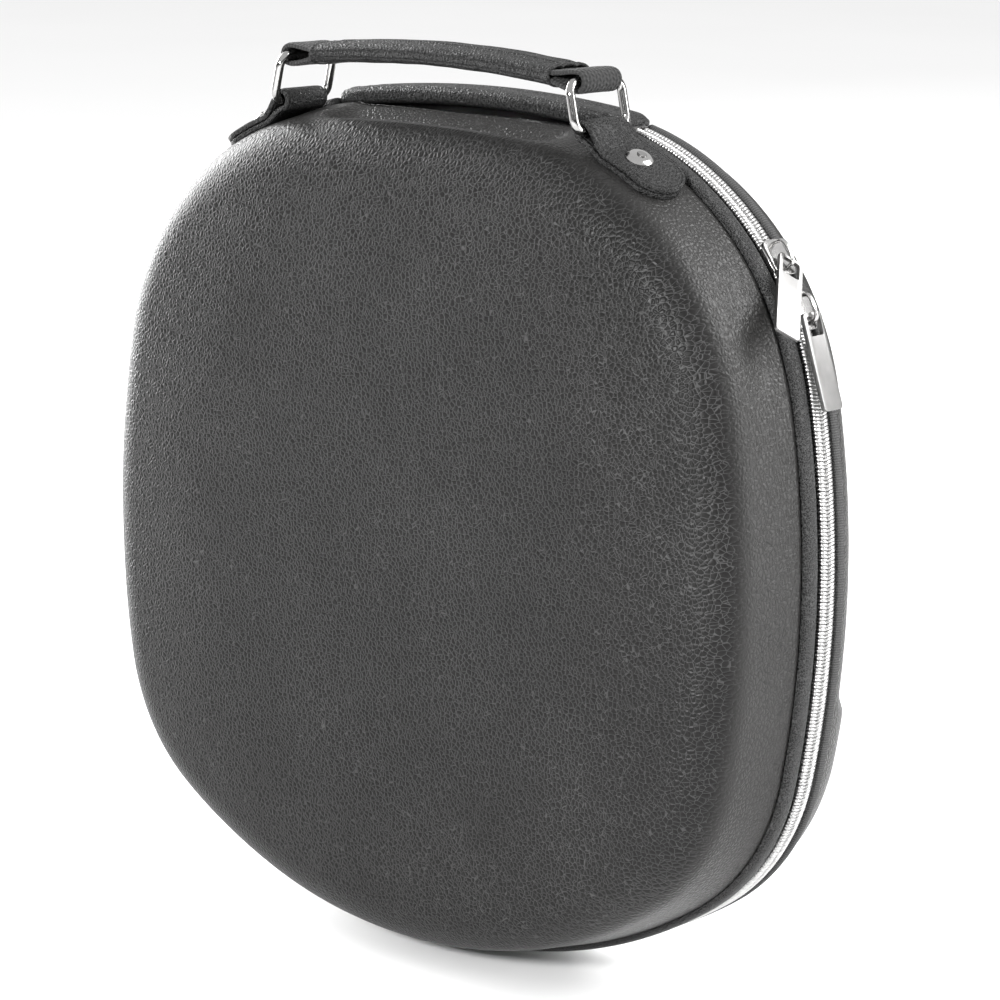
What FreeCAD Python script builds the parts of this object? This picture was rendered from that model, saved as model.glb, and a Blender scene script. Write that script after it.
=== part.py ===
import FreeCAD, Part
import math
import os

# Headphone carrying case: two moulded EVA shells covered in leatherette, joined by a padded
# hinge strip at the top and closed by a coil zip with two sliders. A padded handle hangs on two
# steel rings held by riveted leather tabs. +Z is up, -Y is the front face, +X is the zip pull side.
# The origin is the middle of the footprint, on the ground. All sizes are in millimetres.

os.makedirs("parts", exist_ok=True)
V = FreeCAD.Vector

# Outline of the case where the two halves meet, made of tangent arcs
case_width = 280.0
case_height = 282.0
top_bow = 1.536          # radius of the top arc, as a ratio of the width
bottom_bow = 0.65        # radius of the bottom arc, as a ratio of the width
turn_top = 6.5           # outward directions, in degrees from straight up, where the arcs join
turn_upper = 78.5
turn_side = 100.5
turn_lower = 145.0

# The two halves, as depths measured from the zip line
front_depth = 50.0
front_draft = 9.0
front_edge_radius = 20.0
front_crown = 8.0
front_seam = 11.4
back_depth = 25.0
back_draft = 8.0
back_edge_radius = 14.0
back_crown = 4.0
back_seam = 8.8
seam_step = 1.5          # how far the leatherette sits inside the outline at its seam
plateau_inset = 44.0     # the flat middle of each face starts this far inside the outline

# Layers of each shell
skin = 1.0
core = 3.5
lining = 0.8

# Swell on the lower back
swell_rise = 6.0
swell_top = -38.0        # heights from the middle of the case
swell_bottom = -104.0
swell_corner = 9.0

# Recess under the handle
bay_length = 98.0
bay_back_drop = 4.0      # below the outline's top, at the seam
bay_front_drop = 12.5    # below the outline's top, at the valley
bay_valley = 27.0        # depth of the valley from the zip line
bay_slope = 40.0

# Zip and edge binding
coil_width = 3.25
coil_proud = 0.8
coil_height = 2.8
half_gap = 0.15          # each half stops this far from the zip line
tape_thickness = 1.0
binding_start = 5.0
binding_proud = 0.8
binding_gap = 0.2
binding_round = 0.55     # how much of the binding's height its rounded edges take up
coil_flat = 0.6          # how much of the coil's width its flat crown takes up
stop_length = 1.5
stop_gap = 0.3

# Hinge strip
strip_thickness = 6.5
strip_depth = 9.5
strip_round = 3.0
strip_end = 13.5         # outward direction, in degrees, of the strip's ends
axis_lift = 0.2          # the fold line is this far above the strip

# Rings, tabs and rivets
bar = 3.0
ring_height = 15.5       # between the middles of the top and bottom bars
ring_inside = 22.0
ring_corner = 4.0
ring_lean = 13.0
pin_gap = 0.3
open_pivot_gap = 0.6     # room for the right ring's bar to shift in the handle's eye
tab_width = 19.0
tab_thickness = 2.0
tab_middle = 22.0        # depth of the tab's middle line from the zip line
tab_fold = 15.5          # outward directions, in degrees, of the fold, the rivet and the tip
rivet_at = 25.3
tab_tip = 35.0
tab_joined = 20.3        # outward direction, in degrees, where the two layers of the tab meet
rivet_head = 4.6
rivet_head_height = 1.3
rivet_head_round = 0.9
rivet_past = 1.2         # how far the post stands through the lining
rivet_post = 1.6
washer_radius = 4.5
washer_thickness = 0.6

# Handle
webbing_width = 18.5
webbing = 1.8
grip_length = 102.0
grip_width = 20.5
grip_height = 7.0
wrap = 1.4
grip_round = 2.6
pad_slack = 3.0          # how much wider than the webbing the slot through the padding is
grip_rise = 0.8          # the grip's middle sits this far above the webbing loops

# Zip sliders and pulls
slider_length = 12.5
slider_width = 9.8
slider_plate = 1.3
slider_corner = 2.2
lip_setback = 2.0
slider_gap = 0.4
bridge_width = 1.6
bridge_span = 10.0
bridge_height = 4.9
bridge_lean = 0.4        # the legs lean in by this much over their height
bridge_thickness = 1.2
bridge_spring = 0.6      # the arch starts at this share of the bridge's height
upper_slider_at = 52.8   # outward directions, in degrees
lower_slider_at = 63.2
pull_length = 30.0
pull_width = 9.4
pull_thickness = 1.4
pull_hole_width = 6.2
pull_hole_length = 6.0
pull_bar = 1.2
pull_corner = 1.2
pull_neck = 0.56         # how far the pull's sides step in beside the hole
pull_neck_length = 4.8
pull_seat = 1.8          # the pull's middle above the slider's plate
upper_pull_turn = 38.0
upper_pull_dip = 3.0
lower_pull_dip = 8.0

# Inside
cradle_gap = 0.3
cup_radius = 50.0
cup_spacing = 98.0
cup_drop = 28.0
band_width = 42.0
band_lift = 12.0         # the band channel's centre is this far above the cups' centres
washer_room = 1.0
cradle_floor = 8.0
cradle_rim_gap = 4.0
pocket_sheet = 0.8
pocket_top = 10.0
pocket_setback = 4.0
pocket_binding = 3.0
pocket_binding_height = 6.0

# Feet on the swell
foot_radius = 4.0
foot_height = 1.5
foot_spacing = 150.0
foot_lift = 16.0

# Places worked out from the sizes above
base_z = coil_proud
middle_z = base_z + case_height / 2
top_z = base_z + case_height
back_reach = back_depth + swell_rise + foot_height
zip_y = (front_depth - back_reach) / 2
FRONT = -1
BACK = 1
shell = skin + core + lining
tape_u = coil_height - coil_proud
rim_core_u = tape_u + tape_thickness
strip_proud = strip_thickness - rim_core_u
bend_share = 1 - math.sqrt(0.5)   # how far in a quarter round's middle lies, as a share of its radius


def sin(degrees):
    return math.sin(math.radians(degrees))


def cos(degrees):
    return math.cos(math.radians(degrees))


def tan(degrees):
    return math.tan(math.radians(degrees))


def det3(a, b, c):
    return (a[0] * (b[1] * c[2] - b[2] * c[1])
            - a[1] * (b[0] * c[2] - b[2] * c[0])
            + a[2] * (b[0] * c[1] - b[1] * c[0]))


def corner_radii():
    """Radii of the upper corner, the side and the lower corner that close the outline."""
    rt = top_bow * case_width
    rb = bottom_bow * case_width
    across_top = [sin(turn_upper) - sin(turn_top), 1 - sin(turn_upper), 0]
    across_bottom = [0, 1 - sin(turn_side), sin(turn_side) - sin(turn_lower)]
    down = [cos(turn_top) - cos(turn_upper),
            cos(turn_upper) - cos(turn_side),
            cos(turn_side) - cos(turn_lower)]
    want = [case_width / 2 - rt * sin(turn_top),
            case_width / 2 - rb * sin(turn_lower),
            case_height - rt * (1 - cos(turn_top)) - rb * (1 + cos(turn_lower))]
    rows = [across_top, across_bottom, down]
    whole = det3(*rows)
    found = []
    for column in range(3):
        swapped = [row[:column] + [want[i]] + row[column + 1:] for i, row in enumerate(rows)]
        found.append(det3(*swapped) / whole)
    return found


def outline_arcs():
    """The outline's arcs as (centre x, centre z, radius, first direction, last direction)."""
    upper, side, lower = corner_radii()
    rt = top_bow * case_width
    rb = bottom_bow * case_width
    right = []
    x = 0.0
    z = top_z - rt
    right.append((x, z, rt, -turn_top, turn_top))
    previous = rt
    for radius, first, last in ((upper, turn_top, turn_upper), (side, turn_upper, turn_side),
                                (lower, turn_side, turn_lower)):
        x += (previous - radius) * sin(first)
        z += (previous - radius) * cos(first)
        right.append((x, z, radius, first, last))
        previous = radius
    bottom = (0.0, base_z + rb, rb, turn_lower, 360 - turn_lower)
    left = [(-x, z, r, 360 - b, 360 - a) for x, z, r, a, b in reversed(right[1:])]
    return right + [bottom] + left


ARCS = outline_arcs()
FULL = (-turn_top, 360 - turn_top)


def arc_at(phi):
    for arc in ARCS:
        if arc[3] <= phi <= arc[4]:
            return arc
    return ARCS[0]


def spot(phi, inset, depth, side, arc=None):
    """A point at an outward direction, moved inside the outline and away from the zip line."""
    cx, cz, radius = (arc or arc_at(phi))[:3]
    reach = radius - inset
    return V(cx + reach * sin(phi), zip_y + side * depth, cz + reach * cos(phi))


def section(path, phi, side, arc):
    """A face from (inset, depth) corners; a corner of four numbers ends an arc through its first two."""
    points = [spot(phi, *corner[-2:], side, arc) for corner in path]
    edges = []
    for i, corner in enumerate(path):
        start = points[i - 1]
        if len(corner) == 4:
            through = spot(phi, corner[0], corner[1], side, arc)
            edges.append(Part.Arc(start, through, points[i]).toShape())
        else:
            edges.append(Part.LineSegment(start, points[i]).toShape())
    return Part.Face(Part.Wire(edges))


def positive(shape):
    if shape.Volume < 0:
        shape.reverse()
    return shape


def join(shapes):
    whole = shapes[0].multiFuse(shapes[1:]) if len(shapes) > 1 else shapes[0]
    return positive(whole.removeSplitter())


def sweep(path, side, span=FULL):
    """The section carried round the outline, from one outward direction to another."""
    pieces = []
    for turn in (0, 360):
        for arc in ARCS:
            first = max(arc[3] + turn, span[0])
            last = min(arc[4] + turn, span[1])
            if last - first > 0.01:
                face = section(path, first, side, arc)
                pieces.append(positive(face.revolve(V(arc[0], 0, arc[1]), V(0, 1, 0), last - first)))
    return join(pieces)


def outline_plate(inset, depth0, depth1, side):
    """The area inside the outline, between two depths."""
    edges = []
    for arc in ARCS:
        ends = [spot(phi, inset, depth0, side, arc) for phi in (arc[3], (arc[3] + arc[4]) / 2, arc[4])]
        edges.append(Part.Arc(*ends).toShape())
    face = Part.Face(Part.Wire(edges))
    return positive(face.extrude(V(0, side * (depth1 - depth0), 0)))


def box(x0, x1, y0, y1, z0, z1):
    return Part.makeBox(x1 - x0, y1 - y0, z1 - z0, V(x0, y0, z0))


def polygon(points):
    return Part.Face(Part.makePolygon(list(points) + [points[0]]))


def export(shape, name):
    shape = positive(shape)
    if not shape.isValid():
        print("NOT VALID", name)
    shape.exportStep("parts/" + name + ".step")
    print("%-22s solids %2d  volume %10.1f" % (name, len(shape.Solids), shape.Volume))


# ---------------------------------------------------------------- the moulded halves

def half_line(d, seam, depth, draft, radius, crown):
    """The wall, edge and crown of a half, moved inwards by d, as a section path up to the plateau."""
    wall_in = (cos(draft), -sin(draft))
    crown_in = (sin(crown), -cos(crown))
    # distance of the edge's centre from each line is the edge radius
    a = wall_in[0] * seam_step + wall_in[1] * seam + radius
    b = crown_in[0] * plateau_inset + crown_in[1] * depth + radius
    cross = wall_in[0] * crown_in[1] - wall_in[1] * crown_in[0]
    cu = (a * crown_in[1] - b * wall_in[1]) / cross
    cv = (wall_in[0] * b - crown_in[0] * a) / cross
    r = radius - d
    middle = (90 - draft - crown) / 2 + draft
    wall_end = (cu - r * wall_in[0], cv - r * wall_in[1])
    bend = (cu - r * cos(middle), cv + r * sin(middle))
    crown_start = (cu - r * crown_in[0], cv - r * crown_in[1])
    flat = (plateau_inset + d * tan(crown / 2), depth - d)
    return [(seam_step + d / cos(draft), seam), wall_end, bend + crown_start, flat]


def half_solid(d, side, seam, depth, draft, radius, crown):
    """Everything inside the half at d under its surface, from the seam to the face."""
    far = plateau_inset + shell
    path = half_line(d, seam, depth, draft, radius, crown) + [(far, depth - d), (far, seam)]
    return join([sweep(path, side), outline_plate(far, seam, depth - d, side)])


def bay_fall():
    """How steeply the floor of the recess falls towards the front."""
    return (bay_front_drop - bay_back_drop) / (bay_valley - front_seam)


def bay(d):
    """The recess under the handle, grown by d into the shell."""
    past = 1.0      # the cutter runs this far past the seam
    above = 5.0     # and this far over the case
    half = bay_length / 2
    z_back = top_z - bay_back_drop - d
    z_valley = top_z - bay_front_drop - d
    y_seam = zip_y - front_seam
    y_valley = zip_y - bay_valley
    rise = top_z + above
    y_front = y_valley - d - (rise - z_valley) / tan(90 - bay_slope)
    floor_back = V(-half - d, y_seam + past, z_back + bay_fall() * past)
    floor_valley = V(-half - d, y_valley - d, z_valley)
    face = polygon([floor_back, floor_valley, V(-half - d, y_front, rise), V(-half - d, y_seam + past, rise)])
    block = face.extrude(V(bay_length + 2 * d, 0, 0))
    return positive(block)


def front_form(d):
    solid = half_solid(d, FRONT, front_seam, front_depth, front_draft, front_edge_radius, front_crown)
    return solid.cut(bay(d))


def back_form(d):
    plain = half_solid(d, BACK, back_seam, back_depth, back_draft, back_edge_radius, back_crown)
    deep = half_solid(d, BACK, back_seam, back_depth + swell_rise, back_draft, back_edge_radius, back_crown)
    y0 = zip_y + back_seam
    y1 = zip_y + back_depth + swell_rise + 1
    slab = box(-case_width, case_width, y0, y1, middle_z + swell_bottom + d, middle_z + swell_top - d)
    return plain.fuse(deep.common(slab)).removeSplitter()


def rim(inner0, inner1, seam, side):
    """A straight edge ring between the seam and the zip line."""
    path = [(inner0, half_gap), (inner1, half_gap), (inner1, seam), (inner0, seam)]
    return sweep(path, side)


def drilled(shape, holes):
    for hole in holes:
        shape = shape.cut(hole)
    return shape


def make_half(name, form, seam, draft, side, holes):
    """The leatherette, foam core and lining of one half, with any rivet holes through all three."""
    outer = form(0)
    under_skin = form(skin)
    under_core = form(skin + core)
    inside = form(shell)
    core_in = seam_step + (skin + core) / cos(draft)
    lining_in = seam_step + shell / cos(draft)
    core_shell = join([under_skin.cut(under_core), rim(rim_core_u, core_in, seam, side)])
    lining_shell = join([under_core.cut(inside), rim(core_in, lining_in, seam, side)])
    export(drilled(outer.cut(under_skin), holes), name + "_shell_skin")
    export(drilled(core_shell, holes), name + "_shell_core")
    export(drilled(lining_shell, holes), name + "_shell_lining")
    return outer, inside


# ---------------------------------------------------------------- edge binding and zip

def past_strip(length):
    """The outward direction, in degrees, of a place this far along the outline from the strip's end."""
    return strip_end + math.degrees(length / ARCS[1][2])


def both_ways(first):
    """The span round the outline from one direction on the right to its mirror on the left."""
    return (first, 360 - first)


def make_edge(name, seam, side):
    """Rolled binding beside the zip, the tape under it, and one half of the coil."""
    binding_end = seam - binding_gap
    top = -binding_proud
    r = (tape_u - top) * binding_round
    k = bend_share * r
    binding = [(tape_u, binding_start), (top + r, binding_start),
               (top + k, binding_start + k, top, binding_start + r),
               (top, binding_end - r),
               (top + k, binding_end - k, top + r, binding_end),
               (tape_u, binding_end)]
    edge_span = both_ways(past_strip(stop_gap))
    export(sweep(binding, side, edge_span), name + "_rim_binding")
    tape = [(tape_u, half_gap), (rim_core_u, half_gap), (rim_core_u, binding_end), (tape_u, binding_end)]
    export(sweep(tape, side, edge_span), name + "_zip_tape")
    edge = half_gap + coil_width
    shoulder = coil_width * (1 - coil_flat)
    coil = [(tape_u, half_gap), (-coil_proud, half_gap), (-coil_proud, edge - shoulder),
            (bend_share * shoulder - coil_proud, edge - bend_share * shoulder, shoulder - coil_proud, edge),
            (tape_u, edge)]
    export(sweep(coil, side, both_ways(past_strip(stop_length + 2 * stop_gap))), name + "_zip_coil")


def make_leaf(name, side, outer):
    """Half of the padded hinge strip, lying on the rim of the shell at the top."""
    r = strip_round
    k = bend_share * r
    path = [(rim_core_u, half_gap), (-strip_proud, half_gap), (-strip_proud, strip_depth - r),
            (k - strip_proud, strip_depth - k, r - strip_proud, strip_depth), (rim_core_u, strip_depth)]
    leaf = sweep(path, side, (360 - strip_end, 360 + strip_end))
    export(leaf.cut(outer), name + "_hinge_leaf")


def make_zip_stops():
    """Bars that close the chain at both ends, beside the hinge strip."""
    edge = half_gap + coil_width
    path = [(-coil_proud, half_gap), (-coil_proud, edge), (tape_u, edge), (tape_u, half_gap)]
    near = past_strip(stop_gap)
    far = past_strip(stop_gap + stop_length)
    for name, side in (("front", FRONT), ("back", BACK)):
        first = sweep(path, side, (near, far))
        second = sweep(path, side, (360 - far, 360 - near))
        export(Part.Compound([first, second]), name + "_zip_stops")


# ---------------------------------------------------------------- rings, tabs and handle

def cylinder_y(x, z, radius, y0, y1):
    return Part.makeCylinder(radius, y1 - y0, V(x, y0, z), V(0, 1, 0))


TAB_Y = zip_y - tab_middle


def wall_inset(depth):
    return seam_step + (depth - front_seam) * tan(front_draft)


def ring_foot(side_x):
    """The middle of the ring's bottom bar, standing off the wall at the fold."""
    stand = wall_inset(tab_middle - tab_width / 2) - tab_thickness - pin_gap - bar / 2
    point = spot(tab_fold, stand, tab_middle, FRONT)
    return V(side_x * point.x, TAB_Y, point.z)


def ring_head(side_x):
    foot = ring_foot(side_x)
    return V(foot.x - side_x * ring_height * sin(ring_lean), TAB_Y, foot.z + ring_height * cos(ring_lean))


def make_ring(side_x, name):
    """A rounded rectangular loop of round wire, in the plane through both of its bars."""
    foot = ring_foot(side_x)
    half_y = (ring_inside + bar) / 2
    r = ring_corner
    up = ring_height
    k = r * bend_share
    corners = [(half_y, r), (half_y, up - r), (half_y - k, up - k, half_y - r, up), (-half_y + r, up),
               (-half_y + k, up - k, -half_y, up - r), (-half_y, r), (-half_y + k, k, -half_y + r, 0),
               (half_y - r, 0), (half_y - k, k, half_y, r)]
    edges = []
    start = V(0, corners[0][0], corners[0][1])
    for corner in corners[1:]:
        end = V(0, corner[-2], corner[-1])
        if len(corner) == 4:
            edges.append(Part.Arc(start, V(0, corner[0], corner[1]), end).toShape())
        else:
            edges.append(Part.LineSegment(start, end).toShape())
        start = end
    circle = Part.Wire(Part.Circle(V(0, half_y, r), V(0, 0, 1), bar / 2).toShape())
    ring = Part.Wire(edges).makePipeShell([circle], True, False)
    ring.rotate(V(0, 0, 0), V(0, 1, 0), -side_x * ring_lean)
    ring.translate(foot)
    export(ring, name)


def arc_band(r0, r1, phi0, phi1, side_x):
    """A flat band between two radii about the upper corner's centre, in the X-Z plane."""
    cx, cz = ARCS[1][0], ARCS[1][1]

    def at(r, phi):
        return V(side_x * (cx + r * sin(phi)), 0, cz + r * cos(phi))
    mid = (phi0 + phi1) / 2
    edges = [Part.Arc(at(r1, phi0), at(r1, mid), at(r1, phi1)).toShape(),
             Part.LineSegment(at(r1, phi1), at(r0, phi1)).toShape(),
             Part.Arc(at(r0, phi1), at(r0, mid), at(r0, phi0)).toShape(),
             Part.LineSegment(at(r0, phi0), at(r1, phi0)).toShape()]
    return Part.Face(Part.Wire(edges))


def radial_rod(side_x, radius, inner, outer):
    """A round rod along the wall's outward direction at the rivet, between two insets."""
    point = spot(rivet_at, inner, tab_middle, FRONT)
    out = V(side_x * sin(rivet_at), 0, cos(rivet_at))
    return Part.makeCylinder(radius, inner - outer, V(side_x * point.x, TAB_Y, point.z), out)


def make_tab(side_x, name, front_outer):
    """Leather folded over the ring's bottom bar, both layers running down to the rivet."""
    cx, cz, radius = ARCS[1][:3]
    y0 = TAB_Y - tab_width / 2
    width = V(0, tab_width, 0)
    wall = radius - wall_inset(tab_middle - tab_width / 2)
    low = radius - wall_inset(tab_middle + tab_width / 2) - tab_thickness
    t = tab_thickness
    bands = [arc_band(low, wall + t, tab_fold, tab_tip, side_x),
             arc_band(wall + t, wall + 2 * t, tab_joined, tab_tip, side_x)]
    solids = []
    for face in bands:
        face.translate(V(0, y0, 0))
        solids.append(positive(face.extrude(width)))
    foot = ring_foot(side_x)
    sleeve = bar / 2 + pin_gap + t
    solids.append(cylinder_y(foot.x, foot.z, sleeve, y0, y0 + tab_width))
    # the upper layer slopes from the top of the fold down to the rivet
    phi = tab_joined
    out = V(side_x * sin(tab_fold), 0, cos(tab_fold))
    top = V(foot.x, y0, foot.z)
    end = V(side_x * (cx + (wall + t) * sin(phi)), y0, cz + (wall + t) * cos(phi))
    end_top = V(side_x * (cx + (wall + 2 * t) * sin(phi)), y0, cz + (wall + 2 * t) * cos(phi))
    slope = polygon([top + out * (sleeve - t), top + out * sleeve, end_top, end])
    solids.append(positive(slope.extrude(width)))
    tab = join(solids)
    tab = tab.cut(cylinder_y(foot.x, foot.z, bar / 2 + pin_gap, y0 - 1, y0 + tab_width + 1))
    # rounded end: everything beyond the rivet stays inside a round as wide as the tab
    reach = tab_width / 2
    turn = math.degrees(reach / radius)
    deep = 2 * reach
    long = 6 * reach
    centre = spot(tab_tip - turn, deep, tab_middle, FRONT)
    out = V(side_x * sin(tab_tip - turn), 0, cos(tab_tip - turn))
    down = V(side_x * cos(tab_tip - turn), 0, -sin(tab_tip - turn))
    base = V(side_x * centre.x, TAB_Y, centre.z)
    half_way = V(0, reach, 0)
    round_end = Part.makeCylinder(reach, 2 * deep, base, out)
    tail = polygon([base - half_way, base + half_way, base + half_way - down * long,
                    base - half_way - down * long]).extrude(out * 2 * deep)
    tab = tab.common(join([round_end, positive(tail)]))
    tab = tab.cut(front_outer)
    tab = tab.cut(radial_rod(side_x, rivet_post, post_end(), -deep))
    export(positive(tab), name)


def tab_top_inset():
    return wall_inset(tab_middle - tab_width / 2) - 2 * tab_thickness


def post_end():
    """The inset of the rivet post's inner end."""
    return wall_inset(tab_middle) + shell / cos(front_draft) + rivet_past


def rivet_holes():
    return [radial_rod(side_x, rivet_post, post_end(), 0) for side_x in (1, -1)]


def make_rivets():
    """Domed caps on the tabs, posts through the shell, and washers inside it."""
    inside = post_end()
    caps = []
    posts = []
    washers = []
    for side_x in (1, -1):
        out = V(side_x * sin(rivet_at), 0, cos(rivet_at))
        seat = spot(rivet_at, tab_top_inset(), tab_middle, FRONT)
        base = V(side_x * seat.x, TAB_Y, seat.z)
        cap = Part.makeCylinder(rivet_head, rivet_head_height, base, out)
        rim_edge = [e for e in cap.Edges if abs((e.CenterOfMass - base).dot(out) - rivet_head_height) < 0.01]
        caps.append(cap.makeFillet(rivet_head_round, rim_edge[:1]))
        posts.append(radial_rod(side_x, rivet_post, inside, tab_top_inset()))
        washers.append(radial_rod(side_x, washer_radius, inside + washer_thickness, inside).cut(
            radial_rod(side_x, rivet_post, inside + 1, inside - 1)))
    export(Part.Compound(caps), "rivet_caps")
    export(Part.Compound(posts), "rivet_posts")
    export(Part.Compound(washers), "rivet_washers")


def rounded_bar(x0, x1, width, height, z_mid, radius):
    """A bar along X whose long edges are rounded."""
    block = box(x0, x1, TAB_Y - width / 2, TAB_Y + width / 2, z_mid - height / 2, z_mid + height / 2)
    long_edges = [e for e in block.Edges if abs(e.tangentAt(0).x) > 0.99]
    return block.makeFillet(radius, long_edges)


def make_handle():
    head = ring_head(1)
    outer = bar / 2 + open_pivot_gap + webbing
    grip_z = head.z + grip_rise
    y0 = TAB_Y - webbing_width / 2
    y1 = TAB_Y + webbing_width / 2
    strap = 2 * webbing
    pieces = [box(-head.x, head.x, y0, y1, grip_z - strap / 2, grip_z + strap / 2)]
    for side_x in (1, -1):
        pieces.append(cylinder_y(side_x * head.x, head.z, outer, y0, y1))
    web = join(pieces)
    for side_x, gap in ((1, open_pivot_gap), (-1, pin_gap)):
        web = web.cut(cylinder_y(side_x * head.x, head.z, bar / 2 + gap, y0 - 1, y1 + 1))
    half = grip_length / 2
    body = rounded_bar(-half, half, grip_width, grip_height, grip_z, grip_round)
    hollow = rounded_bar(-half + wrap, half - wrap, grip_width - 2 * wrap, grip_height - 2 * wrap, grip_z,
                         grip_round - wrap)
    web_slot = box(-half - 1, half + 1, y0, y1, grip_z - strap / 2, grip_z + strap / 2)
    pad_slot = box(-half, half, y0 - pad_slack, y1 + pad_slack, grip_z - strap / 2, grip_z + strap / 2)
    export(body.cut(hollow).cut(web_slot), "handle_grip_wrap")
    export(hollow.cut(pad_slot), "handle_padding")
    export(web, "handle_webbing")


# ---------------------------------------------------------------- sliders and pulls

def on_chain(shape, phi):
    """Move a shape built at the origin, with Z outward and X along the chain, to its place."""
    shape.rotate(V(0, 0, 0), V(0, 1, 0), phi)
    shape.translate(spot(phi, 0, 0, FRONT))
    return shape


PLATE_Z = coil_proud + slider_gap
PLATE_TOP = PLATE_Z + slider_plate
PIVOT_Z = PLATE_TOP + pull_seat


def pull_pivot(turn):
    """Where the pull's bar turns: on the far side of the bridge's leg from the pull itself."""
    leg_x = (bridge_span - bridge_thickness) / 2 - bridge_lean * pull_seat / bridge_height
    leg_corner = math.hypot(bridge_width / 2, bridge_thickness / 2)
    bar_corner = math.hypot(pull_bar / 2, pull_thickness / 2)
    reach = leg_corner + bar_corner + pin_gap
    return V(leg_x - reach * cos(turn), reach * sin(turn), PIVOT_Z)


def bridge_face(half, height):
    """The side view of an arch standing on the slider's plate, with slightly leaning legs."""
    foot_left = V(-half, 0, PLATE_TOP)
    foot_right = V(half, 0, PLATE_TOP)
    spring = PLATE_TOP + height * bridge_spring
    left = V(-half + bridge_lean, 0, spring)
    right = V(half - bridge_lean, 0, spring)
    edges = [Part.LineSegment(foot_left, left).toShape(),
             Part.Arc(left, V(0, 0, PLATE_TOP + height), right).toShape(),
             Part.LineSegment(right, foot_right).toShape(),
             Part.LineSegment(foot_right, foot_left).toShape()]
    return Part.Face(Part.Wire(edges))


def make_slider(phi, name):
    half = slider_length / 2
    w = slider_width / 2
    plate = box(-half, half, -w, w, PLATE_Z, PLATE_TOP)
    upright = [e for e in plate.Edges if abs(e.tangentAt(0).z) > 0.99]
    plate = plate.makeFillet(slider_corner, upright)
    y_lip = -(half_gap + coil_width + slider_gap)
    lip = box(lip_setback - half, half - lip_setback, -w, y_lip, slider_gap - tape_u, PLATE_Z)
    face_outer = bridge_face(bridge_span / 2, bridge_height)
    face_inner = bridge_face(bridge_span / 2 - bridge_thickness, bridge_height - bridge_thickness)
    arch = positive(face_outer.cut(face_inner).extrude(V(0, bridge_width, 0)))
    arch.translate(V(0, -bridge_width / 2, 0))
    export(on_chain(join([plate, lip, arch]), phi), name)


def make_pull(phi, turn, dip, name):
    """A flat tab whose hole takes the bridge; the bar beyond the hole lies under the bridge."""
    w = pull_width / 2
    t = pull_thickness / 2
    start = -pull_bar / 2
    body = box(start, pull_length, -w, w, -t, t)
    ends = [e for e in body.Edges if abs(e.tangentAt(0).z) > 0.99]
    body = body.makeFillet(pull_corner, ends)
    hole_start = pull_bar / 2
    hole_w = pull_hole_width / 2
    hole = box(hole_start, hole_start + pull_hole_length, -hole_w, hole_w, -t - 1, t + 1)
    body = body.cut(hole)
    for s in (1, -1):
        y = s * w
        step = y - s * pull_neck
        body = body.cut(box(start - 1, hole_start + pull_neck_length, min(y, step), max(y, step),
                            -t - 1, t + 1))
    body.rotate(V(0, 0, 0), V(0, 1, 0), dip)
    body.rotate(V(0, 0, 0), V(0, 0, 1), -turn)
    body.translate(pull_pivot(turn))
    export(on_chain(body, phi), name)


# ---------------------------------------------------------------- inside pieces

def make_cradle():
    """Foam insert in the front half, with a well for each ear cup and a channel for the band."""
    d = shell + cradle_gap
    block = half_solid(d, FRONT, front_seam, front_depth, front_draft, front_edge_radius, front_crown)
    block = block.cut(bay(d + 1))
    y_rim = zip_y - front_seam - cradle_rim_gap
    block = block.cut(box(-case_width, case_width, y_rim, y_rim + 50, 0, top_z))
    y_floor = zip_y - front_depth + d + cradle_floor
    z_cup = middle_z - cup_drop
    band_radius = cup_spacing / 2 + band_width / 2
    for side_x in (1, -1):
        block = block.cut(cylinder_y(side_x * cup_spacing / 2, z_cup, cup_radius, y_floor, y_rim + 1))
    z_band = z_cup + band_lift
    ring = cylinder_y(0, z_band, band_radius, y_floor, y_rim + 1).cut(
        cylinder_y(0, z_band, band_radius - band_width, y_floor - 1, y_rim + 2))
    ring = ring.common(box(-case_width, case_width, y_floor, y_rim + 1, z_band, top_z))
    block = block.cut(ring)
    deep = post_end() + corner_radii()[0] / 2
    rooms = [radial_rod(s, washer_radius + washer_room, deep, 0) for s in (1, -1)]
    export(drilled(block, rooms), "headphone_cradle")


def make_pocket(inside):
    """Stretch mesh sheet over the lower part of the back half, with a bound top edge."""
    y0 = zip_y + back_seam + pocket_setback
    sheet_room = inside.common(box(-case_width, case_width, y0, y0 + pocket_sheet, 0, middle_z + pocket_top))
    y_b = y0 + pocket_sheet / 2
    z_b = middle_z + pocket_top
    band_room = inside.common(box(-case_width, case_width, y_b - pocket_binding / 2, y_b + pocket_binding / 2,
                                  z_b, z_b + pocket_binding_height))
    export(sheet_room, "pocket_mesh")
    export(band_room, "pocket_binding")


def make_feet(outer):
    """Two rubber studs seated on the swell."""
    y_top = zip_y + back_depth + swell_rise + foot_height
    z = middle_z + swell_bottom + foot_lift
    feet = [cylinder_y(s * foot_spacing / 2, z, foot_radius, y_top - back_edge_radius, y_top).cut(outer)
            for s in (1, -1)]
    export(Part.Compound([foot.Solids[-1] for foot in feet]), "back_feet")


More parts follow.
